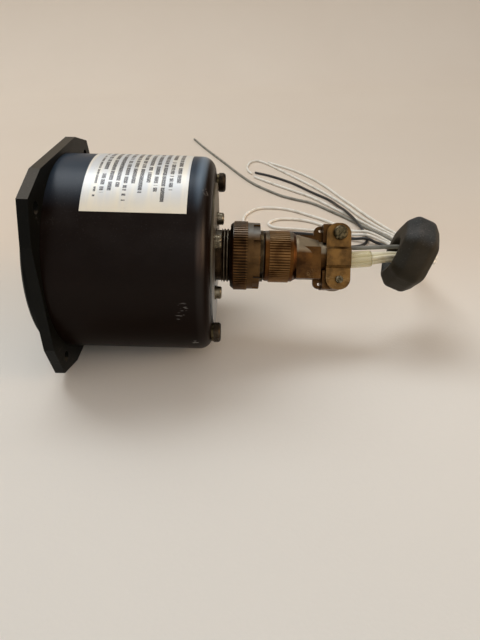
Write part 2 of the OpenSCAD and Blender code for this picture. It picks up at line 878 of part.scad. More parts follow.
plug_x = insert_face + 0.5;
skirt_r = barrel_in_r - 0.3;
plug_in_r = skirt_r - 1;
clip_x = ring_end + 0.2;
clip_t = 1.2;
clip_seat_r = neck_r - 0.5;
rear_thread_r = 9.6;
rear_thread_end = bell_x + 7.3;

module plug_shell() {
  s = shoulder_x - plug_x;
  c = clip_x - plug_x;
  b = bell_x - plug_x;
  end = rear_thread_end - plug_x;
  color([0.3, 0.28, 0.24]) facing(plug_x) {
    difference() {
      rotate_extrude($fn = 128) polygon(concat(
        [[plug_in_r, 0], [skirt_r - 0.3, 0], [skirt_r, 0.5], [skirt_r, s],
         [ring_bore_r - 0.4, s], [ring_bore_r - 0.4, s + shoulder_t],
         [neck_r, s + shoulder_t], [neck_r, c - 0.05], [clip_seat_r, c - 0.05],
         [clip_seat_r, c + clip_t + 0.05], [neck_r, c + clip_t + 0.05], [neck_r, b - 0.05],
         [rear_thread_r - 0.3, b - 0.05]],
        thread_edge(b, end, rear_thread_r, rear_thread_r - 0.6, thread_pitch),
        [[rear_thread_r - 0.6, end], [plug_in_r, end]]
      ));
    }
    translate([-key_w / 2, plug_in_r + 0.2, 0.6]) cube([key_w, skirt_r - plug_in_r + 0.2, 4.5]);
  }
}

module ring_clip() {
  color([0.16, 0.15, 0.14]) facing(clip_x) difference() {
    tube(neck_r + 0.9, clip_seat_r + 0.05, clip_t);
    rotate(200) translate([0, -2, -1]) cube([20, 4, 4]);
  }
}

socket_r = 1.25;
plug_insert_x = plug_x + 0.6;
plug_insert_end = rear_thread_end - 3;
socket_end = plug_insert_end + 2.4;

module plug_insert() {
  h = plug_insert_end - plug_insert_x;
  color([0.1, 0.2, 0.14]) facing(plug_insert_x) difference() {
    cylinder(h = h, r = plug_in_r - insert_clear);
    at_contacts() translate([0, 0, -1]) cylinder(h = h + 2, r = socket_r + 0.05, $fn = 32);
  }
}

module socket_contacts() {
  x = plug_insert_x + 0.4;
  color([0.8, 0.68, 0.3]) facing(x) at_contacts() difference() {
    cylinder(h = socket_end - x, r = socket_r, $fn = 32);
    translate([0, 0, -1]) cylinder(h = pin_tip - x + 2.2, r = pin_d / 2 + 0.08, $fn = 32);
  }
}

bell_flute_deep = 0.4;

module end_bell() {
  r = bell_d / 2;
  smooth_r = r - bell_flute_deep - 0.05;
  flute_start = 2.2;
  flute_end = bell_len - 2.6;
  collar = collar_x - bell_x;
  color([0.36, 0.25, 0.13]) facing(bell_x) difference() {
    union() {
      rotate_extrude($fn = 128) polygon([
        [0, 0], [smooth_r - 0.5, 0], [smooth_r, 0.6], [smooth_r, bell_len - 1.2],
        [smooth_r - 0.8, bell_len], [0, bell_len]
      ]);
      translate([0, 0, flute_start]) linear_extrude(flute_end - flute_start)
        polygon(fluted(bell_flutes, r, bell_flute_deep));
    }
    rotate_extrude($fn = 128) polygon([
      [0, -1], [rear_thread_r + 0.1, -1], [rear_thread_r + 0.1, collar], [collar_r + 0.1, collar],
      [collar_r + 0.1, collar + collar_len + 0.1], [body_r + 0.1, collar + collar_len + 0.1],
      [body_r + 0.1, bell_len + 1], [0, bell_len + 1]
    ]);
  }
}

/* Cable clamp */

collar_x = rear_thread_end + 0.3;
collar_len = 3.6;
collar_r = 9.8;
body_r = 9.2;
body_bore_r = 5.5;
body_end_r = 7.2;
groove_r = 6.5;
clamp_x = bell_end;
pad_x = clamp_x + 0.2;
body_end = clamp_x + 12.4;
pad_end = body_end - 2.3;
saddle_x = body_end;
screw_x = saddle_x + 5.4;
arm_x = body_end - 1.1;
arm_in = 5.7;
arm_out = 13.4;
arm_end_r = (arm_out - arm_in) / 2;
arm_mid = (arm_in + arm_out) / 2;
pad_out = 7.9;
pad_low = -9.4;
pad_h = 13;
ear_x = body_end - 1.8;
ear_t = 1.8;
ear_in = 6.1;
ear_r = 2.6;
ear_mid = 10.6;
ear_hole_r = 0.65;
ear_hole_out = 11.2;

// One arm in plan: x runs to the rear and y along the bars
module arm_plan() {
  translate([arm_x, arm_in]) square([screw_x - arm_x, arm_out - arm_in]);
  translate([screw_x, arm_mid]) circle(r = arm_end_r, $fn = 48);
}

// One ear in plan: a thin plate in front of the arm, drilled for a safety wire
module ear_plan() {
  translate([ear_x, ear_mid]) circle(r = ear_r, $fn = 48);
  translate([ear_x - ear_r, ear_in]) square([arm_x - ear_x + ear_r + 0.5, ear_mid - ear_in]);
}

// Lays a plan whose x runs to the rear across the clamp, t thick about the place mid
module across_clamp(t, mid = 0) {
  on_clamp() translate([mid, 0, 0]) rotate([0, -90, 0]) translate([0, 0, -t / 2])
    linear_extrude(t) children();
}

module clamp_body() {
  color([0.4, 0.28, 0.13]) difference() {
    union() {
      facing() rotate_extrude($fn = 96) polygon([
        [0, collar_x + 0.1], [collar_r, collar_x + 0.1], [collar_r, collar_x + collar_len],
        [body_r, collar_x + collar_len], [body_r, clamp_x + 1], [body_end_r, pad_end - 0.4],
        [groove_r, pad_end - 0.4], [groove_r, body_end], [0, body_end]
      ]);
      across_clamp(arm_t) {
        arm_plan();
        mirror([0, 1]) arm_plan();
      }
      across_clamp(ear_t, ear_t / 2) {
        ear_plan();
        mirror([0, 1]) ear_plan();
      }
      for (turn = [0, 180]) on_clamp(pad_x) rotate(turn)
        translate([-pad_out, pad_low, 0]) cube([pad_out, pad_h, pad_end - pad_x]);
    }
    facing(collar_x - 1) cylinder(h = body_end - collar_x + 3, r = body_bore_r, $fn = 64);
    on_clamp(body_end) translate([-arm_t, -arm_in, 0]) cube([2 * arm_t, 2 * arm_in, 20]);
    for (s = [-1, 1]) {
      on_clamp(screw_x) translate([0, s * clamp_pitch / 2, 0]) rotate([0, 90, 0])
        cylinder(h = 30, d = clamp_screw_d + 0.3, center = true, $fn = 40);
      on_clamp(ear_x) translate([ear_t / 2, s * ear_hole_out, 0]) rotate([0, 90, 0])
        cylinder(h = 2 * ear_t, r = ear_hole_r, center = true, $fn = 32);
    }
  }
}

arch_half = 4.4;
arch_rise = 1.3;
cradle_mid = -0.5;
cradle_half = 3.7;
cradle_deep = 1.4;
cradle_clear = 0.05;

// Section of a saddle bar: x is away from the axis and y along the bar
module saddle_section() {
  a = arm_t / 2;
  b = a + saddle_t;
  h = saddle_len / 2;
  difference() {
    union() {
      translate([a, -h]) square([saddle_t, saddle_len]);
      polygon([
        [a, cradle_mid - arch_half], [b, cradle_mid - arch_half],
        [b + arch_rise, cradle_mid - arch_half + 1.2],
        [b + arch_rise, cradle_mid + arch_half - 1.2],
        [b, cradle_mid + arch_half], [a, cradle_mid + arch_half]
      ]);
      translate([cradle_deep, cradle_mid - cradle_half])
        square([a - cradle_deep + 0.1, 2 * cradle_half]);
    }
    translate([0, cradle_mid]) circle(d = sleeve_d + 2 * cradle_clear, $fn = 64);
  }
}

module saddle(side) {
  r = 4.4;
  on_clamp(saddle_x) difference() {
    intersection() {
      linear_extrude(saddle_w) scale([side, 1]) saddle_section();
      translate([-12, 0, saddle_w / 2]) rotate([0, 90, 0])
        linear_extrude(24) round_rect(saddle_w, saddle_len, r);
    }
    for (s = [-1, 1]) translate([0, s * clamp_pitch / 2, screw_x - saddle_x]) rotate([0, 90, 0])
      cylinder(h = 30, d = clamp_screw_d + 0.1, center = true, $fn = 40);
  }
}

module saddle_near() {
  color([0.47, 0.33, 0.14]) saddle(-1);
}

module saddle_far() {
  color([0.47, 0.33, 0.14]) saddle(1);
}

washer_t = 0.6;
clamp_head_r = 2.9;
clamp_head_h = 1.9;
clamp_head_round = 1.1;
clamp_slot = 0.9;
clamp_slot_deep = 1;
clamp_screw_out = 0.6;
clamp_washer_r = 2.7;

// Frame of clamp screw s: z leaves the clamp on the side of its head
module at_clamp_screw(s) {
  on_clamp(screw_x) translate([0, s * clamp_pitch / 2, 0]) rotate([0, -90 * s, 0]) children();
}

module clamp_screws() {
  seat = arm_t / 2 + saddle_t + washer_t;
  color([0.2, 0.17, 0.12]) for (s = [-1, 1]) at_clamp_screw(s) {
    translate([0, 0, seat]) difference() {
      rotate_extrude($fn = 40) polygon(concat(
        [[0, 0], [clamp_head_r, 0]],
        arc([clamp_head_r - clamp_head_round, clamp_head_h - clamp_head_round],
          clamp_head_round, 0, 90, 5),
        [[0, clamp_head_h]]
      ));
      rotate(55) slot(clamp_head_r, clamp_head_h, clamp_slot, clamp_slot_deep);
    }
    translate([0, 0, -seat - clamp_screw_out])
      cylinder(h = 2 * seat + clamp_screw_out + 0.1, d = clamp_screw_d, $fn = 40);
  }
}

module clamp_washers() {
  color([0.3, 0.26, 0.2]) for (s = [-1, 1]) at_clamp_screw(s)
    translate([0, 0, arm_t / 2 + saddle_t])
      tube(clamp_washer_r, clamp_screw_d / 2 + 0.1, washer_t, $fn = 40);
}

/* Harness: a sleeve and seven leads, which lie on the bench behind the instrument */

// The instrument rests on its flange and its rear corner, so the bench slopes to the rear
bench_slope = 0.04;
function bench(x) = -flange_af / 2 + bench_slope * x;
function laid(p) = [p[0], p[1], bench(p[0]) + lead_d / 2 + (len(p) > 2 ? p[2] : 0)];

// Straight out of the clamp and into the rubber lump
sleeve_route = [
  [99, -0.3, -0.4], [108, -0.3, -0.4], [116, -0.3, -0.4], [124, 0, 0.2],
  [131, 0.6, 0.9], [134, 0.6, 0.9], [137, 0.6, 0.9]
];
sleeve_end_r = bundle_step + lead_d / 2 + 0.2;
sleeve_steps = 2;

// The bundle leaves the lump and turns back and down to the bench
bundle_route = [
  [137.05, 0.6, 0.9], [141, 0.6, 0.9], [146, 1, 0.8], [150.5, 4, -0.5], [154, 12, -5.5],
  [156.5, 24, -12], [159, 40, -20], [161.5, 58, -27.5]
];
grey_start = [[93, 2.4, 3.8], [100, 2.4, 3.8], [108, 2.4, 3.8], [117, 2.4, 3.8],
  [125, 2.6, 4.2], [132, 2.8, 4.6], [137, 2.6, 4.5]];

// Stretches on the bench: x, y and, where a lead rides over another, its lift
outer_laid = [[168.2, 78, 0.3], [169.4, 90, 0.1], [168.2, 101], [163.4, 112], [155, 133],
  [147.5, 155], [143.5, 166], [134.5, 193], [125.5, 214], [112, 236], [100, 250], [92, 259]];
loop_laid = [[165.9, 78, 1.8], [167.2, 90, 0.1], [165.6, 100], [160.6, 110], [150.5, 131],
  [140, 161], [124.5, 194], [110, 221], [91.5, 254], [83, 264], [76.5, 261], [73.5, 248],
  [74, 237], [77, 228]];
inner_laid = [[164.2, 76, 0.2], [165, 90, 0.1], [163, 100], [156.9, 110], [146, 129],
  [133.5, 150], [121, 171], [107, 187], [93, 203], [79, 220]];
grey_laid = [[162.7, 78, 3.8], [162.8, 90, 0.6], [160, 99], [153.5, 109], [142.5, 127],
  [131, 144], [120, 159], [106, 169], [97, 177], [82, 197], [73, 213], [64.5, 232],
  [55, 255], [44, 281], [31, 312], [19, 343]];
low_laid = [[162.2, 76, 1.8], [160.6, 90], [156.6, 97, 0.5], [148.5, 102.6, 2.3],
  [138.5, 109.2, 0.5], [128, 124], [117, 135], [101, 148], [84, 151], [75, 144], [71, 133],
  [71.5, 121], [76, 112]];
short_laid = [[160.1, 77, 2.2], [158.5, 90], [154.3, 94.8, 0.5], [147, 98, 2.3],
  [137, 103.5, 0.4], [126, 116], [113, 127], [100, 130.5], [92, 129], [87.5, 123],
  [90, 117], [98, 114.5], [109, 112.5], [119, 110]];
black_laid = [[159.2, 76, 0.3], [156, 87, 0.1], [151.2, 91, 0.6], [146, 93.6, 2],
  [139, 96.5, 0.6], [129, 100], [116, 104.5], [100, 108], [86, 109], [78, 106.5],
  [74.5, 100.5], [79, 95], [91, 92], [110, 89.5], [128, 86.5], [140, 87], [146, 92.5],
  [147.8, 102.5], [145, 117, 1.9], [142.8, 128, 2.2], [140, 139, 2.2], [137.5, 149, 1.2],
  [133, 165], [122, 182], [109, 203], [93, 221], [80, 231]];
lead_steps = 2;

// The stretch inside the bundle, at place [right, up] in it, from point n on
function strand(place, n = 0) = [
  for (i = [n : len(bundle_route) - 1])
    bundle_route[i] + place[0] * right_of(bundle_route, i) + place[1] * above(bundle_route, i)
];
function on_bench(points) = [for (p = points) laid(p)];
function rested(line) = [for (p = line) [p[0], p[1], max(p[2], bench(p[0]) + lead_d / 2)]];
function lead_line(k, points) =
  rested(curve(concat(strand(sleeve_end_places[k]), on_bench(points)), lead_steps));

lines = [
  lead_line(0, outer_laid), lead_line(1, loop_laid), lead_line(2, inner_laid),
  lead_line(3, low_laid), lead_line(4, short_laid), lead_line(5, black_laid),
  rested(curve(concat(grey_start, strand(bundle_place(90), 1), on_bench(grey_laid)), lead_steps))
];

function length_of(p) = len(p) < 2 ? 0 : sum_steps(p, 0, 0);
function sum_steps(p, i, total) =
  i > len(p) - 2 ? total : sum_steps(p, i + 1, total + norm(p[i + 1] - p[i]));

// Least gap of the black lead to itself, between points that lie well apart along it
black = lines[5];
self_gap = min([
  for (i = [0 : len(black) - 8], j = [i + 7 : len(black) - 1]) norm(black[i] - black[j])
]) - lead_d;
echo(least_gap_of_the_black_lead_to_itself = self_gap,  // lead_black
    lead_lengths = [for (p = lines) round(length_of(p))]);

module lead(k, shade) {
  color(shade) sweep(lines[k], lead_d / 2, 8);
}

module lead_white_outer() {
  lead(0, [0.82, 0.8, 0.74]);
}

module lead_white_loop() {
  lead(1, [0.82, 0.8, 0.74]);
}

module lead_white_inner() {
  lead(2, [0.82, 0.8, 0.74]);
}

module lead_white_low() {
  lead(3, [0.82, 0.8, 0.74]);
}

module lead_white_short() {
  lead(4, [0.82, 0.8, 0.74]);
}

module lead_black() {
  lead(5, [0.08, 0.08, 0.08]);
}

module lead_grey() {
  lead(6, [0.5, 0.48, 0.44]);
}

module cable_sleeve() {
  line = curve(sleeve_route, sleeve_steps);
  radii = [for (p = line)
    let (t = min(1, max(0, (p[0] - 122) / 9))) sleeve_d / 2 + (sleeve_end_r - sleeve_d / 2) * t];
  color([0.75, 0.7, 0.5]) sweep(line, radii, 12);
}

// The leads between the socket contacts and the sleeve
module plug_leads() {
  color([0.8, 0.78, 0.7]) for (k = [0 : 5]) {
    c = contact(k);
    q = c * 0.42 + [sleeve_route[0][1], sleeve_route[0][2]];
    inner_lead([socket_end, c[0], c[1]], [sleeve_route[0][0], q[0], q[1]]);
  }
}

grommet_mid = [140.5, 1.2, 1.8];
grommet_lean = 22;
grommet_bore_r = 4.2;
grommet_mouth = 3.5;

// A rubber lump with six rounded corners, thickest at its waist
module cable_grommet() {
  corner = grommet_d / 2 - 3;
  color([0.07, 0.07, 0.07]) difference() {
    translate(grommet_mid) rotate([-clamp_roll, 0, 0]) rotate([0, grommet_lean, 0])
      rotate([0, 90, 0]) hull() {
        for (a = [15 : 60 : 315]) {
          translate([corner * cos(a), corner * sin(a), 0])
            cylinder(h = grommet_t * 0.5, r = 3, center = true, $fn = 16);
          translate([(corner - 3.5) * cos(a), (corner - 3.5) * sin(a), 0])
            cylinder(h = grommet_t, r = 2.5, center = true, $fn = 16);
        }
      }
    facing(grommet_mid[0]) translate([1.1, 1.7, 0]) {
      translate([0, 0, -20]) cylinder(h = 40, r = grommet_bore_r, $fn = 48);
      translate([0, 0, grommet_mouth]) cylinder(h = 10, r1 = grommet_bore_r, r2 = 9.2, $fn = 48);
    }
  }
}

bezel();
front_panel();
display_window();
display_gasket();
display_digits();
digit_segments();
status_leds();
led_spacers();
button_left();
button_centre();
button_right();
button_switches();
panel_screws();
front_spacers();
display_board();
board_connector();
middle_spacers();
main_board();
board_screws();
case_posts();
microcontroller();
voltage_regulator();
capacitors();
crystal();
input_header();
inner_leads();
case_can();
label_foil();
rear_plate();
case_screws();
case_washers();
receptacle_shell();
receptacle_insert();
contact_pins();
receptacle_screws();
receptacle_washers();
receptacle_nuts();
coupling_ring();
plug_shell();
ring_clip();
plug_insert();
socket_contacts();
plug_leads();
end_bell();
clamp_body();
saddle_near();
saddle_far();
clamp_screws();
clamp_washers();
cable_sleeve();
cable_grommet();
lead_white_outer();
lead_white_loop();
lead_white_inner();
lead_grey();
lead_white_low();
lead_white_short();
lead_black();
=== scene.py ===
"""Digital tachometer lying on a pale bench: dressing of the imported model."""
import math

import bmesh
import bpy
import numpy as np
from mathutils import Matrix, Vector


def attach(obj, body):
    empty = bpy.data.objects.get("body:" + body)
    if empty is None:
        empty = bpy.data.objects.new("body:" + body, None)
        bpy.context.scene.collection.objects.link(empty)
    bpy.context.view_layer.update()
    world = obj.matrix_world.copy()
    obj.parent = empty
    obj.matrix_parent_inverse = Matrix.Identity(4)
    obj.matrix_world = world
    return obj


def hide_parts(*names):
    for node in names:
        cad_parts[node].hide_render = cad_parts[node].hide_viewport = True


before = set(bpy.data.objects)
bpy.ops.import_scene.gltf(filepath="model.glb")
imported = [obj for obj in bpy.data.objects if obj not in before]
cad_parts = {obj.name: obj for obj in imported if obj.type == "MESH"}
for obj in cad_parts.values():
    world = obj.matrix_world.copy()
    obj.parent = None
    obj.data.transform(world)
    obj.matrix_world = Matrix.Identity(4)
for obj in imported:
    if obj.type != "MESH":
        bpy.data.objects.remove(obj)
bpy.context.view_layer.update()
scene = bpy.context.scene
scene.view_settings.view_transform = "Standard"
MM = 0.001


# Camera.
def photo_camera():
    """The camera stands where the photograph was taken from. Its turn is the product of a roll
    of 1.62, a pitch of 33.69 and a yaw of 0.22 degrees, whose rows are right, forward and up."""
    right, forward, up = np.array([
        [0.99965315, 0.01184337, 0.02352255],
        [0.00319484, 0.83204481, -0.55469922],
        [-0.02614132, 0.55458197, 0.83171838],
    ])
    place = (0.06904, -0.19368, 0.0965)
    data = bpy.data.cameras.new("photo_camera")
    data.sensor_width = 36
    data.lens = 28.63
    data.clip_start, data.clip_end = 0.005, 20
    camera = bpy.data.objects.new("photo_camera", data)
    turn = Matrix(np.column_stack([right, up, -forward]).tolist()).to_4x4()
    camera.matrix_world = Matrix.Translation(place) @ turn
    scene.collection.objects.link(camera)
    scene.camera = camera


photo_camera()


# Surfaces.
def unit(v):
    """Each row of v at length one."""
    return v / np.maximum(np.linalg.norm(v, axis=-1, keepdims=True), 1e-12)


def add_mesh(name, points, faces, material, body=None, uv=None):
    """One smooth object from points in metres and a list of arrays of faces. The faces of one
    array have the same number of corners. A piece of the part rides on a body and has a slot."""
    mesh = bpy.data.meshes.new(name)
    corners = np.concatenate([f.ravel() for f in faces])
    sizes = np.concatenate([np.full(len(f), f.shape[1]) for f in faces])
    starts = np.concatenate([[0], np.cumsum(sizes)[:-1]])
    mesh.vertices.add(len(points))
    mesh.vertices.foreach_set("co", np.asarray(points, dtype=np.float32).ravel())
    mesh.loops.add(len(corners))
    mesh.loops.foreach_set("vertex_index", corners.astype(np.int32))
    mesh.polygons.add(len(sizes))
    mesh.polygons.foreach_set("loop_start", starts.astype(np.int32))
    mesh.polygons.foreach_set("loop_total", sizes.astype(np.int32))
    mesh.update(calc_edges=True)
    mesh.polygons.foreach_set("use_smooth", np.full(len(sizes), True))
    if uv is not None:
        layer = mesh.uv_layers.new(name="along")
        layer.data.foreach_set("uv", uv[corners].astype(np.float32).ravel())
    mesh.validate()
    obj = bpy.data.objects.new(name, mesh)
    scene.collection.objects.link(obj)
    obj.data.materials.append(material)
    if body:
        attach(obj, body)
    return obj


def grid_faces(rows, cols, round_rows=False, round_cols=True):
    """Quads of a grid of rows by cols points; a round side joins its last line to its first."""
    i = np.arange(rows if round_rows else rows - 1)[:, None]
    j = np.arange(cols if round_cols else cols - 1)[None, :]
    a = i * cols + j
    b = i * cols + (j + 1) % cols
    c = ((i + 1) % rows) * cols + (j + 1) % cols
    d = ((i + 1) % rows) * cols + j
    return np.stack([a, b, c, d], axis=-1).reshape(-1, 4)


def through(points, steps):
    """Smooth curve through the points: the cubic whose slope at a point is half the chord of its
    two neighbours, with the end points doubled, at a given number of steps per span."""
    p = np.asarray(points, dtype=float)
    p = np.vstack([p[:1], p, p[-1:]])
    t = (np.arange(steps) / steps)[None, :, None]
    a, b, c, d = (p[k:len(p) - 3 + k, None, :] for k in range(4))
    line = (2 * b + (c - a) * t + (2 * a - 5 * b + 4 * c - d) * t ** 2
            + (3 * b - a - 3 * c + d) * t ** 3) / 2
    return np.vstack([line.reshape(-1, 3), p[-1:]])


def beside(p):
    """Headings of a line, and the directions to its right and above it."""
    ahead = unit(np.vstack([p[1:2] - p[:1], p[2:] - p[:-2], p[-1:] - p[-2:-1]]))
    right = unit(np.cross(ahead, [0, 0, 1]))
    return ahead, right, np.cross(right, ahead)


def full_turn(sides):
    """Equal turns round a circle, in radians."""
    return 2 * np.pi * np.arange(sides) / sides


def run_along(line):
    """Distance from the line's start to each of its points."""
    return np.concatenate([[0], np.cumsum(np.linalg.norm(np.diff(line, axis=0), axis=1))])


def closed_tube(line, radius, sides):
    """Points and faces of a tube whose two ends are closed by a fan to a middle point, and a map
    with the distance along the tube and the turn round it. A point of its skin is the centre plus
    radius times (cos turn * right + sin turn * above). The radius is one number, or an array with
    a value for each ring or for each point."""
    _, right, above = beside(line)
    turn = full_turn(sides)[None, :, None]
    rings = len(line)
    r = np.asarray(radius, dtype=float)
    r = np.broadcast_to(r if r.ndim == 2 else r.reshape(-1, 1), (rings, sides))[..., None]
    skin = line[:, None] + r * (np.cos(turn) * right[:, None] + np.sin(turn) * above[:, None])
    points = np.vstack([skin.reshape(-1, 3), line[:1], line[-1:]])
    k = np.arange(sides)
    middle, last = rings * sides, (rings - 1) * sides
    start = np.stack([(k + 1) % sides, k, np.full(sides, middle)], axis=-1)
    end = np.stack([last + k, last + (k + 1) % sides, np.full(sides, middle + 1)], axis=-1)
    run = run_along(line)
    uv = np.stack([np.repeat(run, sides), np.tile(k / sides, rings)], axis=-1)
    uv = np.vstack([uv, [[run[0], 0]], [[run[-1], 0]]])
    return points, [grid_faces(rings, sides)[:, ::-1], start[:, ::-1], end[:, ::-1]], uv


# Routes of the harness, in mm.
LEAD_R = 0.9       # radius of a lead
STEP = 2.0         # from the bundle's middle to the leads round it
BUNDLE = np.array([[137.05, 0.6, 0.9], [141, 0.6, 0.9], [146, 1, 0.8], [150.5, 4, -0.5],
    [154, 12, -5.5], [156.5, 24, -12], [159, 40, -20], [161.5, 58, -27.5]])
GREY_START = [[93, 2.4, 3.8], [100, 2.4, 3.8], [108, 2.4, 3.8], [117, 2.4, 3.8], [125, 2.6, 4.2],
    [132, 2.8, 4.6], [137, 2.6, 4.5]]
SLEEVE = [[99, -0.3, -0.4], [108, -0.3, -0.4], [116, -0.3, -0.4], [124, 0, 0.2],
          [131, 0.6, 0.9], [134, 0.6, 0.9], [137, 0.6, 0.9]]
# each lead: its turn in the bundle in degrees (None is the middle), then its points on the bench,
# some with a lift from it
LEADS = {
    "lead_white_outer": (-30, [[168.2, 78, 0.3], [169.4, 90, 0.1], [168.2, 101], [163.4, 112],
        [155, 133], [147.5, 155], [143.5, 166], [134.5, 193], [125.5, 214], [112, 236], [100, 250],
        [92, 259]]),
    "lead_white_loop": (30, [[165.9, 78, 1.8], [167.2, 90, 0.1], [165.6, 100], [160.6, 110],
        [150.5, 131], [140, 161], [124.5, 194], [110, 221], [91.5, 254], [83, 264], [76.5, 261],
        [73.5, 248], [74, 237], [77, 228]]),
    "lead_white_inner": (-90, [[164.2, 76, 0.2], [165, 90, 0.1], [163, 100], [156.9, 110],
        [146, 129], [133.5, 150], [121, 171], [107, 187], [93, 203], [79, 220]]),
    "lead_white_low": (None, [[162.2, 76, 1.8], [160.6, 90], [156.6, 97, 0.5], [148.5, 102.6, 2.3],
        [138.5, 109.2, 0.5], [128, 124], [117, 135], [101, 148], [84, 151], [75, 144], [71, 133],
        [71.5, 121], [76, 112]]),
    "lead_white_short": (150, [[160.1, 77, 2.2], [158.5, 90], [154.3, 94.8, 0.5], [147, 98, 2.3],
        [137, 103.5, 0.4], [126, 116], [113, 127], [100, 130.5], [92, 129], [87.5, 123], [90, 117],
        [98, 114.5], [109, 112.5], [119, 110]]),
    "lead_black": (210, [[159.2, 76, 0.3], [156, 87, 0.1], [151.2, 91, 0.6], [146, 93.6, 2],
        [139, 96.5, 0.6], [129, 100], [116, 104.5], [100, 108], [86, 109], [78, 106.5],
        [74.5, 100.5], [79, 95], [91, 92], [110, 89.5], [128, 86.5], [140, 87], [146, 92.5],
        [147.8, 102.5], [145, 117, 1.9], [142.8, 128, 2.2], [140, 139, 2.2], [137.5, 149, 1.2],
        [133, 165], [122, 182], [109, 203], [93, 221], [80, 231]]),
    "lead_grey": (90, [[162.7, 78, 3.8], [162.8, 90, 0.6], [160, 99], [153.5, 109], [142.5, 127],
        [131, 144], [120, 159], [106, 169], [97, 177], [82, 197], [73, 213], [64.5, 232], [55, 255],
        [44, 281], [31, 312], [19, 343]]),
}


def bench(x):
    """Height of the bench under x, in mm: it slopes because the flange is deeper than the can."""
    return -41.5 + 0.04 * x


def lead_points(name):
    """Control points of a lead: its strand of the bundle, then its stretch laid on the bench."""
    turn, laid = LEADS[name]
    a = math.radians(turn or 0)
    out = 0 if turn is None else STEP
    _, right, above = beside(BUNDLE)
    strand = BUNDLE + out * math.cos(a) * right + out * math.sin(a) * above
    floor = np.array([[x, y, bench(x) + LEAD_R + sum(lift)] for x, y, *lift in laid])
    if name == "lead_grey":
        return np.vstack([GREY_START, strand[1:], floor])
    return np.vstack([strand, floor])


# Node helpers.
class Shader:
    """Small hand for laying nodes in a tree, either a material's or a group's."""

    def __init__(self, tree):
        self.tree = tree

    def add(self, kind, **settings):
        """New node of a kind with its settings."""
        node = self.tree.nodes.new(kind)
        for key, value in settings.items():
            setattr(node, key, value)
        return node

    def feed(self, socket, value):
        """Gives a socket the output of another node, or a constant."""
        if isinstance(value, bpy.types.NodeSocket):
            self.tree.links.new(value, socket)
        else:
            socket.default_value = value

    def math(self, operation, *values):
        """Result of one arithmetic operation."""
        node = self.add("ShaderNodeMath", operation=operation)
        for k, value in enumerate(values):
            self.feed(node.inputs[k], value)
        return node.outputs[0]

    def times(self, *values):
        """Product of two or more values."""
        product = values[0]
        for value in values[1:]:
            product = self.math("MULTIPLY", product, value)
        return product

    def highest(self, *values):
        """Largest of two or more values."""
        top = values[0]
        for value in values[1:]:
            top = self.math("MAXIMUM", top, value)
        return top

    def between(self, value, low, high, to_low=0.0, to_high=1.0):
        """Soft step of a value from low to high, put out as to_low to to_high."""
        node = self.add("ShaderNodeMapRange", interpolation_type="SMOOTHSTEP")
        for name, v in (("Value", value), ("From Min", low), ("From Max", high),
                        ("To Min", to_low), ("To Max", to_high)):
            self.feed(node.inputs[name], v)
        return node.outputs[0]

    def mix(self, factor, a, b):
        """Colour between a and b."""
        node = self.add("ShaderNodeMix", data_type="RGBA")
        for socket, value in ((node.inputs[0], factor), (node.inputs[6], a), (node.inputs[7], b)):
            if isinstance(value, (tuple, list)) and len(value) == 3:
                value = (*value, 1)
            self.feed(socket, value)
        return node.outputs[2]

    def blend(self, factor, a, b):
        """Number between a and b."""
        node = self.add("ShaderNodeMix", data_type="FLOAT")
        for socket, value in ((node.inputs[0], factor), (node.inputs[2], a), (node.inputs[3], b)):
            self.feed(socket, value)
        return node.outputs[0]

    def noise(self, vector, scale, detail=3.0, rough=0.5):
        """Cloudy noise from 0 to 1 at the place that a vector gives."""
        node = self.add("ShaderNodeTexNoise")
        for name, v in (("Vector", vector), ("Scale", scale), ("Detail", detail),
                        ("Roughness", rough)):
            self.feed(node.inputs[name], v)
        return node.outputs[0]

    def stretch(self, vector, scale, turn=(0, 0, 0)):
        """Vector scaled along its axes and turned by degrees."""
        node = self.add("ShaderNodeMapping")
        self.feed(node.inputs["Vector"], vector)
        node.inputs["Scale"].default_value = scale
        node.inputs["Rotation"].default_value = [math.radians(a) for a in turn]
        return node.outputs[0]

    def vector(self, x, y, z):
        """Vector of three numbers."""
        node = self.add("ShaderNodeCombineXYZ")
        for socket, value in zip(node.inputs, (x, y, z)):
            self.feed(socket, value)
        return node.outputs[0]

    def place(self):
        """Object coordinates, in metres."""
        return self.add("ShaderNodeTexCoord").outputs["Object"]

    def apart(self, at):
        """Distance in metres from a point of the piece."""
        node = self.add("ShaderNodeVectorMath", operation="DISTANCE")
        self.feed(node.inputs[0], self.place())
        node.inputs[1].default_value = at
        return node.outputs["Value"]

    def bump(self, height, strength, depth):
        """Normal of a surface raised by height times depth in metres."""
        node = self.add("ShaderNodeBump")
        self.feed(node.inputs["Height"], height)
        node.inputs["Strength"].default_value = strength
        node.inputs["Distance"].default_value = depth
        return node.outputs[0]

    def height_of(self, vector):
        """Third number of a vector."""
        split = self.add("ShaderNodeSeparateXYZ")
        self.feed(split.inputs[0], vector)
        return split.outputs[2]

    def facing(self):
        """Normal of the surface before any bump."""
        return self.add("ShaderNodeNewGeometry").outputs["Normal"]

    def group(self, tree, **values):
        """Outputs of a shared effect with its own values; a name's _ stands for a space."""
        node = self.add("ShaderNodeGroup", node_tree=tree)
        for key, value in values.items():
            self.feed(node.inputs[key.replace("_", " ")], value)
        return node.outputs


def new_group(name, inputs, outputs):
    """Empty shader group with float inputs {name: value} and outputs {name: kind}."""
    tree = bpy.data.node_groups.new(name, "ShaderNodeTree")
    for key, value in inputs.items():
        socket = tree.interface.new_socket(name=key, in_out="INPUT", socket_type="NodeSocketFloat")
        socket.default_value = value
    for key, kind in outputs.items():
        tree.interface.new_socket(name=key, in_out="OUTPUT", socket_type=kind)
    s = Shader(tree)
    return tree, s, s.add("NodeGroupInput").outputs, s.add("NodeGroupOutput").inputs


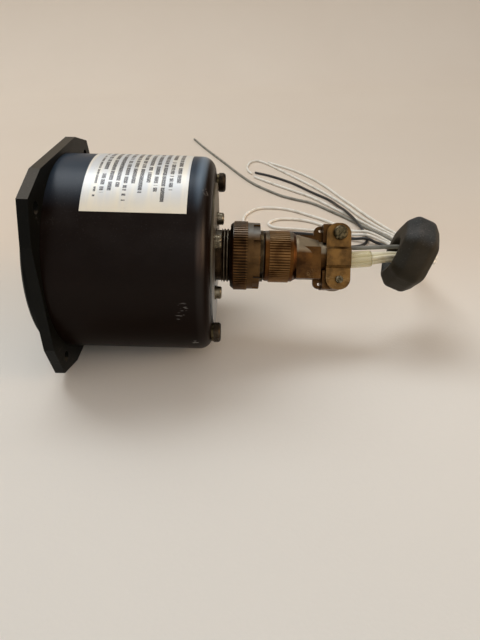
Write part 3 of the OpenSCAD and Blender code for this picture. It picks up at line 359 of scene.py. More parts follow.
def axis_group():
    """Place on the instrument in mm: along its axis, out from it and round it (0 to 1)."""
    tree, s, _, out = new_group("place_on_axis", {}, {
        "Along": "NodeSocketFloat", "Radius": "NodeSocketFloat", "Turn": "NodeSocketFloat"})
    split = s.add("ShaderNodeSeparateXYZ")
    s.feed(split.inputs[0], s.place())
    x, y, z = split.outputs
    square = s.math("ADD", s.times(y, y), s.times(z, z))
    s.feed(out["Along"], s.times(x, 1 / MM))
    s.feed(out["Radius"], s.times(s.math("SQRT", square), 1 / MM))
    s.feed(out["Turn"], s.math("ADD", s.math("DIVIDE", s.math("ARCTAN2", z, y), 2 * math.pi), 0.5))
    return tree


def grain_group():
    """Fine grain and slow cloudiness at one point: two noises, both 0 to 1."""
    tree, s, given, out = new_group("grain", {"Fine": 2500.0, "Slow": 90.0}, {
        "Fine Value": "NodeSocketFloat", "Slow Value": "NodeSocketFloat"})
    p = s.place()
    s.feed(out["Fine Value"], s.noise(p, given["Fine"], 2.0))
    s.feed(out["Slow Value"], s.noise(p, given["Slow"], 4.0, 0.6))
    return tree


def scuff_group():
    """Thin scratches: where a noise drawn out along one direction crosses its middle value, kept
    only where a slow noise is high. Two directions, Amount widens the patches."""
    tree, s, given, out = new_group("scuffs", {"Scale": 140.0, "Amount": 0.5}, {
        "Mask": "NodeSocketFloat"})
    p = s.place()
    lines = []
    for turn, scale in (((0, 0, 35), (0.25, 3.0, 3.0)), ((50, 0, -60), (3.0, 0.3, 3.0))):
        n = s.noise(s.stretch(p, scale, turn), given["Scale"], 2.0)
        near = s.math("ABSOLUTE", s.math("SUBTRACT", n, 0.5))
        lines.append(s.between(near, 0.006, 0.001))
    patch = s.noise(p, 60.0, 2.0)
    limit = s.math("SUBTRACT", 0.72, s.times(given["Amount"], 0.2))
    keep = s.between(patch, limit, s.math("ADD", limit, 0.06))
    s.feed(out["Mask"], s.times(s.highest(*lines), keep))
    return tree


def dust_group():
    """Dust: on faces that look up, broken by a fine and a slow noise."""
    tree, s, given, out = new_group("dust", {"Amount": 0.3}, {"Mask": "NodeSocketFloat"})
    up = s.between(s.height_of(s.facing()), 0.1, 1.0)
    p = s.place()
    specks = s.between(s.noise(p, 1800.0, 1.0), 0.62, 0.75)
    film = s.between(s.noise(p, 120.0, 4.0), 0.35, 0.75)
    both = s.math("ADD", s.times(specks, 0.8), s.times(film, 0.35))
    s.feed(out["Mask"], s.times(both, up, given["Amount"]))
    return tree


def upward_group():
    """How far a face looks up: 0 where its normal's height is below From, 1 above To."""
    tree, s, given, out = new_group("looks_up", {"From": 0.6, "To": 1.0}, {
        "Mask": "NodeSocketFloat"})
    s.feed(out["Mask"], s.between(s.height_of(s.facing()), given["From"], given["To"]))
    return tree


AXIS = axis_group()
UPWARD = upward_group()
GRAIN = grain_group()
SCUFF = scuff_group()
DUST = dust_group()


def new_material(name, **fixed):
    """Material with one Principled BSDF whose constant sockets are set directly."""
    material = bpy.data.materials.new(name)
    material.use_nodes = True
    s = Shader(material.node_tree)
    shader = material.node_tree.nodes["Principled BSDF"]
    for key, value in fixed.items():
        shader.inputs[key.replace("_", " ")].default_value = value
    return material, s, shader.inputs


def dress(nodes, material):
    """Gives CAD nodes a material by assigning it to their slots."""
    for name in nodes:
        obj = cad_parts[name]
        if not obj.material_slots:
            obj.data.materials.append(material)
        for slot in obj.material_slots:
            slot.material = material


# Finishes.
def painted_can():
    """Satin black on the can: faint orange peel, more gloss and a painted blue-grey sheen where it
    looks up, a painted paler sheen on its upper rear, the rear corner rubbed smooth with a painted
    warm reflection on one side, four knocks that show bare metal and a thin film of dust."""
    m, s, b = new_material("can_black", IOR=1.5, Specular_IOR_Level=0.03, Coat_Roughness=0.33)
    g = s.group(GRAIN, Fine=1400.0, Slow=70.0)
    place = s.group(AXIS)
    scuff = s.group(SCUFF, Scale=170.0, Amount=0.2)["Mask"]
    dust = s.group(DUST, Amount=0.12)["Mask"]
    painted_up_sheen = s.group(UPWARD, From=0.72, To=0.99)["Mask"]
    base = s.mix(g["Slow Value"], (0.0044, 0.002, 0.001), (0.0078, 0.0038, 0.0022))
    # painted sheen: a blue-grey tone on the faces that look up
    base = s.mix(painted_up_sheen, base, (0.021, 0.037, 0.06))
    # the rear corner, which is glossier; on one side of it a brown tint is a painted warm
    # reflection
    corner = s.times(s.between(place["Along"], 53.0, 54.6), s.between(place["Along"], 57.0, 55.2))
    side = s.times(s.between(place["Turn"], 0.88, 0.915), s.between(place["Turn"], 0.968, 0.925))
    base = s.mix(s.times(corner, side), base, (0.03, 0.016, 0.009))
    # painted sheen: a paler blue tone where the rear of the can looks up
    rear = s.between(place["Along"], 51.5, 54.5)
    base = s.mix(s.times(rear, painted_up_sheen), base, (0.12, 0.175, 0.24))
    # each knock: its middle and its radius in metres, and how far it is worn
    knock = s.highest(*(s.times(s.between(s.apart(at), r, 0.5 * r), worn) for at, r, worn in (
        ((0.049, -0.0394, -0.0015), 0.0022, 0.25), ((0.0478, -0.039, -0.0058), 0.0022, 0.25),
        ((0.0523, -0.033, -0.0215), 0.0018, 0.6), ((0.0571, -0.0187, 0.0347), 0.0024, 0.25))))
    slanted = s.stretch(s.place(), (0.35, 1.0, 1.2), (0, 35, 0))
    chips = s.between(s.noise(slanted, 1100.0, 1.0), 0.54, 0.62)
    base = s.mix(s.times(knock, chips), base, (0.5, 0.48, 0.45))
    base = s.mix(s.times(scuff, 0.5), base, (0.16, 0.15, 0.14))
    base = s.mix(dust, base, (0.16, 0.15, 0.15))
    s.feed(b["Base Color"], base)
    lift = s.group(UPWARD, From=-0.5, To=0.4)["Mask"]
    gloss = s.times(lift, 0.2, s.between(place["Along"], 57.0, 55.8))
    gloss = s.blend(corner, gloss, s.blend(lift, 0.08, 0.51))
    s.feed(b["Coat Weight"], s.math("ADD", gloss, s.times(painted_up_sheen, 0.08)))
    rough = s.blend(g["Slow Value"], 0.26, 0.4)
    s.feed(b["Roughness"], s.math("ADD", rough, s.times(dust, 0.4)))
    s.feed(b["Normal"], s.bump(g["Fine Value"], 0.12, 0.0002))
    return m


def moulded_black(name, low, high, rough, peel, fine, dusty, shine=0.32, painted_up_sheen=None):
    """Dull black moulding or anodising: fine bump, cloudy roughness, dust. A painted sheen (from,
    to, tone) lightens what looks up."""
    m, s, b = new_material(name, IOR=1.48, Specular_IOR_Level=shine)
    g = s.group(GRAIN, Fine=fine, Slow=60.0)
    dust = s.group(DUST, Amount=dusty)["Mask"]
    scuff = s.group(SCUFF, Scale=120.0, Amount=0.4)["Mask"]
    base = s.mix(g["Slow Value"], low, high)
    # painted sheen: a paler tone on the faces that look up
    if painted_up_sheen:
        base = s.mix(s.group(UPWARD, From=painted_up_sheen[0], To=painted_up_sheen[1])["Mask"], base, painted_up_sheen[2])
    base = s.mix(s.times(scuff, 0.35), base, (0.22, 0.21, 0.2))
    s.feed(b["Base Color"], s.mix(dust, base, (0.22, 0.2, 0.19)))
    s.feed(b["Roughness"], s.blend(g["Slow Value"], rough, rough + 0.18))
    s.feed(b["Normal"], s.bump(g["Fine Value"], peel, 0.0002))
    return m


def plated(name, low, high, worn, rough, metal, crest=None, blotch=170.0, wear=0.5,
           band=None, painted_sheen=None):
    """Worn plating: blotches of two tones, bare metal in scuffs and on a crest, which is given as
    two radii in mm, and a darker tone below it. A band (from, to, tone) in mm along the axis is
    rubbed to another tone, and a painted sheen (from, to, tone) lightens what looks up."""
    m, s, b = new_material(name, IOR=1.6)
    g = s.group(GRAIN, Fine=2200.0, Slow=blotch)
    scuff = s.group(SCUFF, Scale=240.0, Amount=0.7)["Mask"]
    tone = s.between(g["Slow Value"], 0.32, 0.68)
    base = s.mix(tone, low, high)
    bare = s.times(scuff, 0.6)
    if crest:
        radius = s.group(AXIS)["Radius"]
        top = s.between(radius, crest[0], crest[1])
        broken = s.between(g["Slow Value"], 0.3, 0.6, 0.35, 1.0)
        bare = s.highest(bare, s.times(top, broken, wear))
        # a darker tone below the crest, towards the bottom of the grooves
        darker_below_crest = s.between(radius, crest[0], crest[0] - 0.35)
        base = s.mix(s.times(darker_below_crest, 0.55), base, tuple(0.25 * v for v in low))
    if band:
        along = s.group(AXIS)["Along"]
        inside = s.times(s.between(along, band[0] - 0.1, band[0] + 0.1),
                         s.between(along, band[1] + 0.1, band[1] - 0.1))
        rubbed = s.between(g["Slow Value"], 0.25, 0.6, 0.45, 1.0)
        base = s.mix(s.times(inside, rubbed), base, band[2])
    # painted sheen: a paler tone on what looks up
    if painted_sheen:
        up = s.group(UPWARD, From=painted_sheen[0], To=painted_sheen[1])["Mask"]
        cloudy = s.between(g["Slow Value"], 0.2, 0.6, 0.6, 1.0)
        base = s.mix(s.times(up, cloudy), base, painted_sheen[2])
    s.feed(b["Base Color"], s.mix(bare, base, worn))
    s.feed(b["Metallic"], s.blend(bare, metal, 1.0))
    s.feed(b["Roughness"], s.blend(g["Slow Value"], rough, rough + 0.2))
    s.feed(b["Normal"], s.bump(g["Fine Value"], 0.15, 0.00015))
    return m


def brushed_plate():
    """Bare aluminium turned on a lathe: noise drawn out round the axis, finger marks, and a painted
    warm-brown reflection on its upper half."""
    m, s, b = new_material("rear_plate_metal", Metallic=1.0, IOR=1.5)
    place = s.group(AXIS)
    turned = s.noise(s.vector(place["Radius"], s.times(place["Turn"], 3.0), 0.0), 9.0, 4.0, 0.7)
    g = s.group(GRAIN, Fine=1900.0, Slow=130.0)
    # painted reflection: the mask film tints the upper half warm brown
    film = s.between(s.height_of(s.place()), -0.012, 0.014)
    base = s.mix(turned, (0.27, 0.29, 0.31), (0.44, 0.465, 0.49))
    base = s.mix(s.between(g["Slow Value"], 0.55, 0.75), base, (0.36, 0.33, 0.28))
    base = s.mix(film, base, s.mix(turned, (0.1, 0.083, 0.056), (0.2, 0.17, 0.12)))
    s.feed(b["Base Color"], base)
    s.feed(b["Roughness"], s.blend(turned, 0.38, 0.56))
    s.feed(b["Normal"], s.bump(turned, 0.2, 0.0001))
    return m


def label_paper():
    """Cream foil with a painted cool, pale highlight where it looks up, and rows of plain dark bars
    round the can, broken by a noise that runs along each row; its lower part is bare."""
    m, s, b = new_material("label_foil", IOR=1.5, Metallic=0.2, Coat_Weight=0.3,
                           Coat_Roughness=0.15)
    label_edge, row_pitch, can_round = 12.8, 2.7, 247.0     # mm
    place = s.group(AXIS)
    g = s.group(GRAIN, Fine=900.0, Slow=110.0)
    across = s.math("SUBTRACT", place["Along"], label_edge)
    rows = s.math("DIVIDE", across, row_pitch)
    row = s.math("FLOOR", rows)
    run = s.times(place["Turn"], can_round)
    from_middle = s.math("ABSOLUTE", s.math("SUBTRACT", s.math("SUBTRACT", rows, row), 0.5))
    rule = s.between(from_middle, 0.29, 0.23)
    breaks = s.noise(s.vector(s.times(run, 0.9), s.times(row, 7.31), 0.0), 1.0, 0.0)
    strokes = s.noise(s.vector(s.times(run, 3.4), s.times(rows, 9.0), 0.0), 1.0, 1.0)
    bars = s.times(s.between(breaks, 0.35, 0.39), s.between(strokes, 0.33, 0.43))
    printed_rows = s.times(s.between(across, 3.8, 4.0), s.between(across, 34.6, 34.4))
    uneven = s.noise(s.vector(s.times(row, 3.7), 0.5, 0.0), 1.0, 0.0)
    row_end = s.between(uneven, 0.3, 0.7, 0.818, 0.852)
    in_row = s.times(s.math("LESS_THAN", place["Turn"], row_end),
                     s.between(place["Turn"], 0.64, 0.643))
    ink = s.times(rule, bars, printed_rows, in_row)
    streaks = s.noise(s.vector(s.times(across, 0.35), s.times(run, 0.03), 0.0), 1.0, 3.0)
    # painted highlight: a cooler, paler tone in streaks where the label looks up
    up = s.group(UPWARD, From=0.7, To=0.9)["Mask"]
    glare = s.times(up, s.between(streaks, 0.3, 0.62, 0.45, 1.0))
    scuff = s.group(SCUFF, Scale=200.0, Amount=0.6)["Mask"]
    base = s.mix(g["Slow Value"], (0.86, 0.8, 0.63), (0.92, 0.87, 0.72))
    base = s.mix(glare, base, (0.62, 0.66, 0.69))
    base = s.mix(s.times(ink, 0.95), base, (0.02, 0.02, 0.024))
    base = s.mix(s.times(scuff, 0.5), base, (0.4, 0.36, 0.3))
    s.feed(b["Base Color"], base)
    s.feed(b["Roughness"], s.blend(g["Slow Value"], 0.3, 0.5))
    s.feed(b["Normal"], s.bump(g["Fine Value"], 0.08, 0.0002))
    return m


def lead_cover(name, clean, dirty, rough=0.38):
    """Extruded cover of a lead: stains and fine grain."""
    m, s, b = new_material(name, IOR=1.46, Coat_Weight=0.15, Coat_Roughness=0.3)
    g = s.group(GRAIN, Fine=1500.0, Slow=160.0)
    stain = s.between(g["Slow Value"], 0.42, 0.75)
    s.feed(b["Base Color"], s.mix(s.times(stain, 0.8), clean, dirty))
    s.feed(b["Roughness"], s.blend(g["Slow Value"], rough, rough + 0.2))
    s.feed(b["Normal"], s.bump(g["Fine Value"], 0.1, 0.0002))
    return m


def clear_film():
    """Aged clear tubing: see-through at its middle and denser at its rim, with drawn streaks."""
    m, s, b = new_material("sleeve_film", IOR=1.45, Coat_Weight=0.6, Coat_Roughness=0.12)
    streak = s.noise(s.stretch(s.place(), (0.15, 1, 1)), 900.0, 3.0)
    edge = s.add("ShaderNodeLayerWeight")
    edge.inputs["Blend"].default_value = 0.35
    s.feed(b["Base Color"], s.mix(streak, (0.58, 0.48, 0.19), (0.82, 0.76, 0.47)))
    s.feed(b["Alpha"], s.between(edge.outputs["Facing"], 0.0, 0.8, 0.35, 0.7))
    s.feed(b["Roughness"], s.blend(streak, 0.18, 0.35))
    s.feed(b["Normal"], s.bump(streak, 0.25, 0.0003))
    return m


def board_lacquer():
    """Green lacquer over traces: a net of paler lines between cells, glossier on the lines."""
    m, s, b = new_material("board_lacquer", IOR=1.5, Coat_Weight=0.5, Coat_Roughness=0.2)
    tile = s.add("ShaderNodeTexVoronoi", feature="DISTANCE_TO_EDGE", distance="EUCLIDEAN")
    s.feed(tile.inputs["Vector"], s.place())
    tile.inputs["Scale"].default_value = 350.0
    trace = s.between(tile.outputs[0], 0.05, 0.09)
    s.feed(b["Base Color"], s.mix(trace, (0.05, 0.2, 0.07), (0.012, 0.09, 0.035)))
    s.feed(b["Roughness"], s.blend(trace, 0.3, 0.42))
    return m


def plain_metal(name, low, high, rough=0.28, cloud=300.0):
    """Turned or plated small part: cloudy tone, turning marks, fine scuffs."""
    m, s, b = new_material(name, Metallic=1.0, IOR=1.5)
    g = s.group(GRAIN, Fine=2600.0, Slow=cloud)
    scuff = s.group(SCUFF, Scale=320.0, Amount=0.8)["Mask"]
    base = s.mix(s.between(g["Slow Value"], 0.34, 0.66), low, high)
    s.feed(b["Base Color"], s.mix(s.times(scuff, 0.5), base, (0.7, 0.68, 0.62)))
    s.feed(b["Roughness"], s.blend(g["Slow Value"], rough, rough + 0.2))
    s.feed(b["Normal"], s.bump(g["Fine Value"], 0.12, 0.0001))
    return m


def plain_plastic(name, low, high, rough=0.4, coat=0.1):
    """Moulded plastic: cloudy tone, fine grain and a thin gloss."""
    m, s, b = new_material(name, IOR=1.5, Coat_Weight=coat, Coat_Roughness=0.25)
    g = s.group(GRAIN, Fine=1800.0, Slow=140.0)
    s.feed(b["Base Color"], s.mix(g["Slow Value"], low, high))
    s.feed(b["Roughness"], s.blend(g["Slow Value"], rough, rough + 0.15))
    s.feed(b["Normal"], s.bump(g["Fine Value"], 0.1, 0.0001))
    return m


def smoked_window():
    """Smoked plate: a tinted see-through sheet with wipe marks in its gloss."""
    m, s, b = new_material("window_smoke", IOR=1.49, Specular_IOR_Level=0.3, Coat_Weight=0.2,
                           Coat_Roughness=0.05, Alpha=0.5)
    g = s.group(GRAIN, Fine=1200.0, Slow=80.0)
    s.feed(b["Base Color"], s.mix(g["Slow Value"], (0.012, 0.004, 0.005), (0.02, 0.007, 0.008)))
    s.feed(b["Roughness"], s.blend(g["Slow Value"], 0.06, 0.16))
    return m


CAN = painted_can()
# for the bezel and the lump, the last tone is a painted sheen on what looks up
BEZEL = moulded_black("bezel_black", (0.0022, 0.0022, 0.0016), (0.005, 0.0052, 0.004), 0.36, 0.25,
                      1600.0, 0.15, 0.1, painted_up_sheen=(0.6, 0.95, (0.05, 0.044, 0.033)))
PANEL = moulded_black("panel_black", (0.012, 0.012, 0.013), (0.02, 0.02, 0.021), 0.5, 0.5,
                      2600.0, 0.15)
RUBBER = moulded_black("lump_rubber", (0.014, 0.0112, 0.0066), (0.036, 0.0295, 0.0185), 0.46, 0.45,
                       1100.0, 0.4, 0.12, painted_up_sheen=(0.3, 1.0, (0.034, 0.038, 0.039)))
BUTTON = moulded_black("button_cap", (0.02, 0.02, 0.022), (0.035, 0.035, 0.037), 0.42, 0.3,
                       2000.0, 0.2)
# the sheen tones of the plated parts are painted highlights on what looks up
BRONZE = plated("ring_plating", (0.011, 0.004, 0.0011), (0.042, 0.0145, 0.0036),
                (0.19, 0.1, 0.038), 0.33, 0.97, crest=(13.95, 14.28),
                band=(71.3, 77.3, (0.115, 0.063, 0.024)), painted_sheen=(0.8, 0.97, (0.13, 0.125, 0.115)))
BELL = plated("bell_plating", (0.058, 0.021, 0.0037), (0.14, 0.055, 0.011), (0.3, 0.18, 0.075),
              0.34, 0.95, crest=(10.45, 10.78), painted_sheen=(0.86, 0.99, (0.1, 0.085, 0.06)))
CLAMP = plated("clamp_plating", (0.038, 0.016, 0.0038), (0.11, 0.05, 0.012), (0.3, 0.2, 0.09),
               0.36, 0.92, painted_sheen=(0.6, 0.76, (0.29, 0.24, 0.165)))
SADDLE = plated("saddle_plating", (0.078, 0.04, 0.0105), (0.2, 0.105, 0.028), (0.4, 0.28, 0.13),
                0.34, 0.88, blotch=230.0)
SHELL = plated("plug_plating", (0.03, 0.024, 0.018), (0.08, 0.062, 0.042), (0.34, 0.3, 0.24),
               0.35, 0.85)
OLIVE = plated("receptacle_plating", (0.031, 0.016, 0.0066), (0.088, 0.052, 0.022),
               (0.24, 0.21, 0.15), 0.36, 0.9, crest=(10.75, 11.1), blotch=260.0, wear=0.6,
               painted_sheen=(0.55, 0.95, (0.16, 0.15, 0.125)))
DARK_SCREW = plain_metal("dark_screw", (0.014, 0.01, 0.007), (0.05, 0.037, 0.024), 0.34)
CLIP = plain_metal("clip_steel", (0.036, 0.025, 0.013), (0.09, 0.065, 0.034), 0.34)
CLAMP_SCREW = plain_metal("clamp_screw", (0.028, 0.022, 0.011), (0.13, 0.103, 0.055), 0.32, 800.0)
NICKEL = plain_metal("nickel", (0.12, 0.1, 0.067), (0.3, 0.265, 0.19), 0.26, 520.0)
BRASS = plain_metal("turned_brass", (0.5, 0.36, 0.12), (0.7, 0.54, 0.22), 0.24)
GOLD = plain_metal("contact_gold", (0.6, 0.4, 0.1), (0.75, 0.55, 0.2), 0.2)
STEEL = plain_metal("bright_steel", (0.4, 0.4, 0.4), (0.58, 0.58, 0.58), 0.26)
WHITE = plain_plastic("white_plastic", (0.6, 0.58, 0.5), (0.72, 0.7, 0.62))
DIGIT = plain_plastic("digit_body", (0.03, 0.03, 0.033), (0.05, 0.05, 0.055), 0.45)
SEGMENT = plain_plastic("digit_segment", (0.34, 0.06, 0.05), (0.42, 0.09, 0.07), 0.3, 0.3)
RESIN = plain_plastic("led_resin", (0.5, 0.46, 0.32), (0.62, 0.58, 0.44), 0.12, 0.6)
INSERT = plain_plastic("insert_plastic", (0.01, 0.05, 0.025), (0.02, 0.075, 0.04), 0.45)
BLUE = plain_plastic("capacitor_sleeve", (0.01, 0.02, 0.11), (0.02, 0.035, 0.16), 0.25, 0.4)
LEAD_WHITE = lead_cover("lead_white", (0.86, 0.84, 0.77), (0.6, 0.57, 0.48))
LEAD_GREY = lead_cover("lead_grey", (0.24, 0.235, 0.2), (0.1, 0.09, 0.07))
LEAD_BLACK = lead_cover("lead_black", (0.011, 0.011, 0.012), (0.03, 0.028, 0.026), 0.3)
STRAND = lead_cover("bundled_lead", (0.92, 0.86, 0.64), (0.6, 0.48, 0.26), 0.3)


def carried_over():
    """Finishes of the CAD nodes that are kept."""
    for names, material in (
        (["case_can"], CAN), (["bezel"], BEZEL), (["front_panel"], PANEL),
        (["label_foil"], label_paper()), (["rear_plate"], brushed_plate()),
        (["display_window"], smoked_window()), (["display_gasket"], RUBBER),
        (["display_digits", "button_switches", "board_connector", "microcontroller"], DIGIT),
        (["digit_segments"], SEGMENT), (["status_leds"], RESIN),
        (["led_spacers", "input_header"], WHITE),
        (["button_left", "button_centre", "button_right"], BUTTON),
        (["panel_screws", "case_screws"], DARK_SCREW), (["ring_clip"], CLIP),
        (["front_spacers", "middle_spacers", "case_posts"], BRASS),
        (["display_board", "main_board"], board_lacquer()),
        (["board_screws", "receptacle_nuts", "crystal", "voltage_regulator"], STEEL),
        (["case_washers", "clamp_screws", "clamp_washers"], CLAMP_SCREW),
        (["capacitors"], BLUE), (["inner_leads", "plug_leads"], LEAD_WHITE),
        (["receptacle_shell"], OLIVE), (["receptacle_insert", "plug_insert"], INSERT),
        (["contact_pins", "socket_contacts"], GOLD),
        (["receptacle_screws", "receptacle_washers"], NICKEL),
        (["coupling_ring"], BRONZE), (["plug_shell"], SHELL), (["end_bell"], BELL),
        (["clamp_body"], CLAMP), (["saddle_near", "saddle_far"], SADDLE),
    ):
        dress(names, material)


carried_over()


# Harness.
def film_and_leads():
    """Clear film over seven leads. The film is a tube along the first part of the route, with six
    faint lobes that turn slowly: its radius is film_r * (1 + 0.018 cos 6 a), where a is the turn
    round the tube plus twist times the distance along the axis. The leads lie six round one inside
    it, turn with it and draw together once they leave it."""
    film_r, film_end = 3.46, 124.5          # mm, the second along the instrument's axis
    strand_r, strand_out = 0.99, 2.02
    twist = 0.02                            # radians for each mm
    whole = through(SLEEVE, 10)
    line = whole[whole[:, 0] < film_end]
    radius = np.full(len(line), film_r)
    radius[-1] -= 0.12
    lobes = 1 + 0.018 * np.cos(6 * (full_turn(64)[None, :] + twist * line[:, :1]))
    points, faces, _ = closed_tube(line, radius[:, None] * lobes, 64)
    film = add_mesh("sleeve_film", points * MM, faces, clear_film(), "plug")
    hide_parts("cable_sleeve")

    _, right, above = beside(whole)
    scale = (1 - 0.2 * np.clip((whole[:, 0] - 122) / 9, 0, 1))[:, None]
    points, faces, count = [], [], 0
    for turn in (None, 0, 60, 120, 180, 240, 300):
        out = 0 if turn is None else strand_out
        a = math.radians(turn or 0) + twist * (whole[:, 0] - whole[0, 0])
        centre = whole + scale * out * (np.cos(a)[:, None] * right + np.sin(a)[:, None] * above)
        skin, sides, _ = closed_tube(centre, strand_r * scale[:, 0], 16)
        points.append(skin)
        faces += [f + count for f in sides]
        count += len(skin)
    strands = add_mesh("bundled_leads", np.vstack(points) * MM, faces, STRAND, "plug")
    return film, strands


def hexagon(turn, side, r):
    """Distance to a hexagon whose sides lie at the distance side and whose corners have radius r:
    side / cos(off) along a side, and the circle's far point near a corner, where off is the turn
    from the nearest corner or from the middle of the side."""
    first_corner = math.radians(15)
    off = np.abs((turn - first_corner + math.pi / 6) % (math.pi / 3) - math.pi / 6)
    corner = (side - r) / math.cos(math.pi / 6)
    inside = np.maximum(r ** 2 - (corner * np.sin(off)) ** 2, 0)
    touch = np.arctan2(r / 2, corner + r * math.cos(math.pi / 6))
    return np.where(off < touch, corner * np.cos(off) + np.sqrt(inside),
                    side / np.cos(math.pi / 6 - off))


def softened(points, cut, steps):
    """The line through the points with each inner corner b cut off at the distance cut and
    replaced by the curve (1 - t)^2 a + 2 t (1 - t) b + t^2 c between the two cut ends a and c."""
    p = np.asarray(points, dtype=float)
    b = p[1:-1]
    a = b + cut * unit(p[:-2] - b)
    c = b + cut * unit(p[2:] - b)
    t = np.linspace(0, 1, steps)[None, :, None]
    curve = (1 - t) ** 2 * a[:, None] + 2 * t * (1 - t) * b[:, None] + t ** 2 * c[:, None]
    return np.vstack([p[:1], curve.reshape(-1, p.shape[1]), p[-1:]])


def grommet():
    """Rubber lump round the sleeve: a hexagonal block with soft bevelled rims. Rows of points run
    through the bore, over one face, down its bevel, across the rim and back over the other face;
    each row is a circle, a round-cornered hexagon or a mix of the two round the lump's axis."""
    middle = np.array([140.5, 1.2, 1.8])
    roll, lean = math.radians(-33.5), math.radians(22)
    about_x = np.array([[1, 0, 0], [0, math.cos(roll), -math.sin(roll)],
                        [0, math.sin(roll), math.cos(roll)]])
    about_y = np.array([[math.cos(lean), 0, math.sin(lean)], [0, 1, 0],
                        [-math.sin(lean), 0, math.cos(lean)]])
    from_lump = about_x @ about_y @ np.array([[0, 0, 1], [0, 1, 0], [-1, 0, 0]])
    turn = np.radians(np.arange(0, 360, 1.25))
    # each row: height along the axis, bore radius, share of hexagon, its side distance and radius
    bore = [[-7.1, 7.9], [-6.2, 7.2], [-5.0, 6.3], [-3.4, 5.3], [-1.6, 4.5], [0.4, 4.2], [2.6, 4.2],
            [4.2, 4.7], [5.6, 5.5], [6.8, 6.3], [7.3, 6.7]]
    rim = softened([[7.42, 8.6], [7.4, 11.1], [3.7, 14.55], [-3.7, 14.55], [-7.4, 11.1],
                    [-7.42, 9.6]], 1.3, 7)
    rows = np.array([[h, r, 0, 11.1, 3.4] for h, r in bore] + [[7.42, 6.8, 0.2, 8.6, 3.4]]
                    + [[h, 6.8, 1, s, 3.4 + 0.45 * max(s - 11, 0)] for h, s in rim]
                    + [[-7.42, 8.2, 0.4, 9.6, 3.4], [-7.36, 8.2, 0.05, 9.6, 3.4]])
    height, bore, share, side, r = (rows[:, k, None] for k in range(5))
    # the bore follows the bundle, which runs along the instrument's axis and not the lump's
    to_lump = np.linalg.inv(from_lump)
    bundle_way = to_lump @ np.array([1, 0, 0])
    bundle_at = to_lump @ (np.array([140.5, 1.1, 1.7]) - middle)
    shift = bundle_at[:2] + height * (bundle_way[:2] / bundle_way[2])
    circle = np.stack([np.cos(turn), np.sin(turn)], axis=-1)
    uneven = (1 - 0.006 * (1 + np.sin(3 * turn + 0.9))
              - 0.005 * (1 + np.sin(7 * turn + 0.3 * height)))
    inner = shift[:, None, :] + bore[..., None] * circle[None]
    outer = (hexagon(turn[None, :], side, r) * uneven)[..., None] * circle[None]
    flat = (1 - share[..., None]) * inner + share[..., None] * outer
    heights = np.broadcast_to(height[..., None], flat.shape[:2] + (1,))
    local = np.concatenate([flat, heights], axis=-1)
    points = (middle + local @ from_lump.T).reshape(-1, 3) * MM
    faces = [grid_faces(len(rows), len(turn), round_rows=True)]
    piece = add_mesh("cable_lump", points, faces, RUBBER, "plug")
    finish_normals(piece)
    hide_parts("cable_grommet")
    return piece


def finish_normals(obj):
    """Turns every face of a closed piece outwards."""
    bm = bmesh.new()
    bm.from_mesh(obj.data)
    bmesh.ops.recalc_face_normals(bm, faces=bm.faces)
    bm.to_mesh(obj.data)
    bm.free()


def leads(carried):
    """Loose leads: tubes on their routes, which lie on the bench from where the bundle ends. The
    grey lead runs inside the film. The carried pieces are not used."""
    finish = {"lead_grey": LEAD_GREY, "lead_black": LEAD_BLACK}
    for name in LEADS:
        line = through(lead_points(name), 8)
        line[:, 2] = np.maximum(line[:, 2], bench(line[:, 0]) + LEAD_R)
        points, faces, uv = closed_tube(line, LEAD_R, 14)
        piece = add_mesh(name + "_cover", points * MM, faces, finish.get(name, LEAD_WHITE),
                         "plug", uv)
        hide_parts(name)


leads([*film_and_leads(), grommet()])


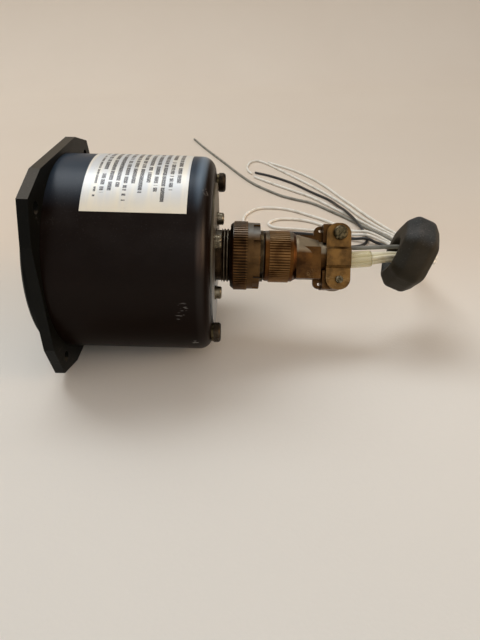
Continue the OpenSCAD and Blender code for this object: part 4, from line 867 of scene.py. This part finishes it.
# Bench and light.
def bench_top():
    """Wide pale bench that slopes as the instrument leans. At its far side a quarter circle turns
    it up into a backdrop."""
    m, s, b = new_material("bench_cloth", IOR=1.4)
    b["Roughness"].default_value = 0.85
    g = s.group(GRAIN, Fine=900.0, Slow=4.0)
    split = s.add("ShaderNodeSeparateXYZ")
    s.feed(split.inputs[0], s.place())
    back = s.between(split.outputs["Y"], -0.06, 0.12)
    near = s.mix(g["Slow Value"], (0.73, 0.715, 0.67), (0.79, 0.77, 0.72))
    far = s.mix(g["Slow Value"], (0.69, 0.6, 0.5), (0.74, 0.66, 0.56))
    s.feed(b["Base Color"], s.mix(back, near, far))
    s.feed(b["Normal"], s.bump(g["Fine Value"], 0.15, 0.0004))
    reach, flat_end, bend, height, below = 12.0, 0.62, 0.22, 3.0, 0.0001     # metres
    x = np.linspace(-reach, reach, 120)
    y = np.linspace(-reach, flat_end, 120)
    turn = np.linspace(0, np.pi / 2, 24)[1:]
    rise = np.linspace(0, height, 8)[1:]
    ys = np.concatenate([y, flat_end + bend * np.sin(turn), np.full(len(rise), flat_end + bend)])
    zs = np.concatenate([np.zeros(len(y)), bend * (1 - np.cos(turn)), bend + rise])
    xs, ys = np.meshgrid(x, ys)
    points = np.stack([xs, ys, zs[:, None] + bench(xs / MM) * MM - below], axis=-1)
    faces = [grid_faces(*xs.shape, round_cols=False)]
    add_mesh("bench_top", points.reshape(-1, 3), faces, m)


def lamp(name, place, aim, size, watts, colour, spread=180):
    """Flat lamp of a given size in metres at a place, turned to its aim."""
    data = bpy.data.lights.new(name, "AREA")
    data.shape = "RECTANGLE"
    data.size, data.size_y = size
    data.energy = watts
    data.color = colour
    data.spread = math.radians(spread)
    obj = bpy.data.objects.new(name, data)
    obj.location = place
    obj.rotation_euler = (Vector(place) - Vector(aim)).to_track_quat("Z", "Y").to_euler()
    scene.collection.objects.link(obj)


def light():
    """Soft window behind and above, a weak fill from the viewer's side, a warm glow on the right
    and a pale sky."""
    lamp("window", (-0.35, 0.75, 1.25), (0.05, 0.05, 0), (1.3, 0.9), 18, (0.93, 0.97, 1.0))
    lamp("fill", (0.5, -1.1, 0.9), (0.05, 0, 0), (1.2, 0.9), 3, (1.0, 0.96, 0.92))
    lamp("glow", (0.62, -0.16, 0.2), (0.06, 0, 0.02), (0.26, 0.42), 0.19, (1.0, 0.68, 0.42), 50)
    world = bpy.data.worlds.new("room")
    world.use_nodes = True
    sky = world.node_tree.nodes["Background"]
    sky.inputs["Color"].default_value = (0.95, 0.9, 0.87, 1)
    sky.inputs["Strength"].default_value = 0.45
    scene.world = world


bench_top()
light()
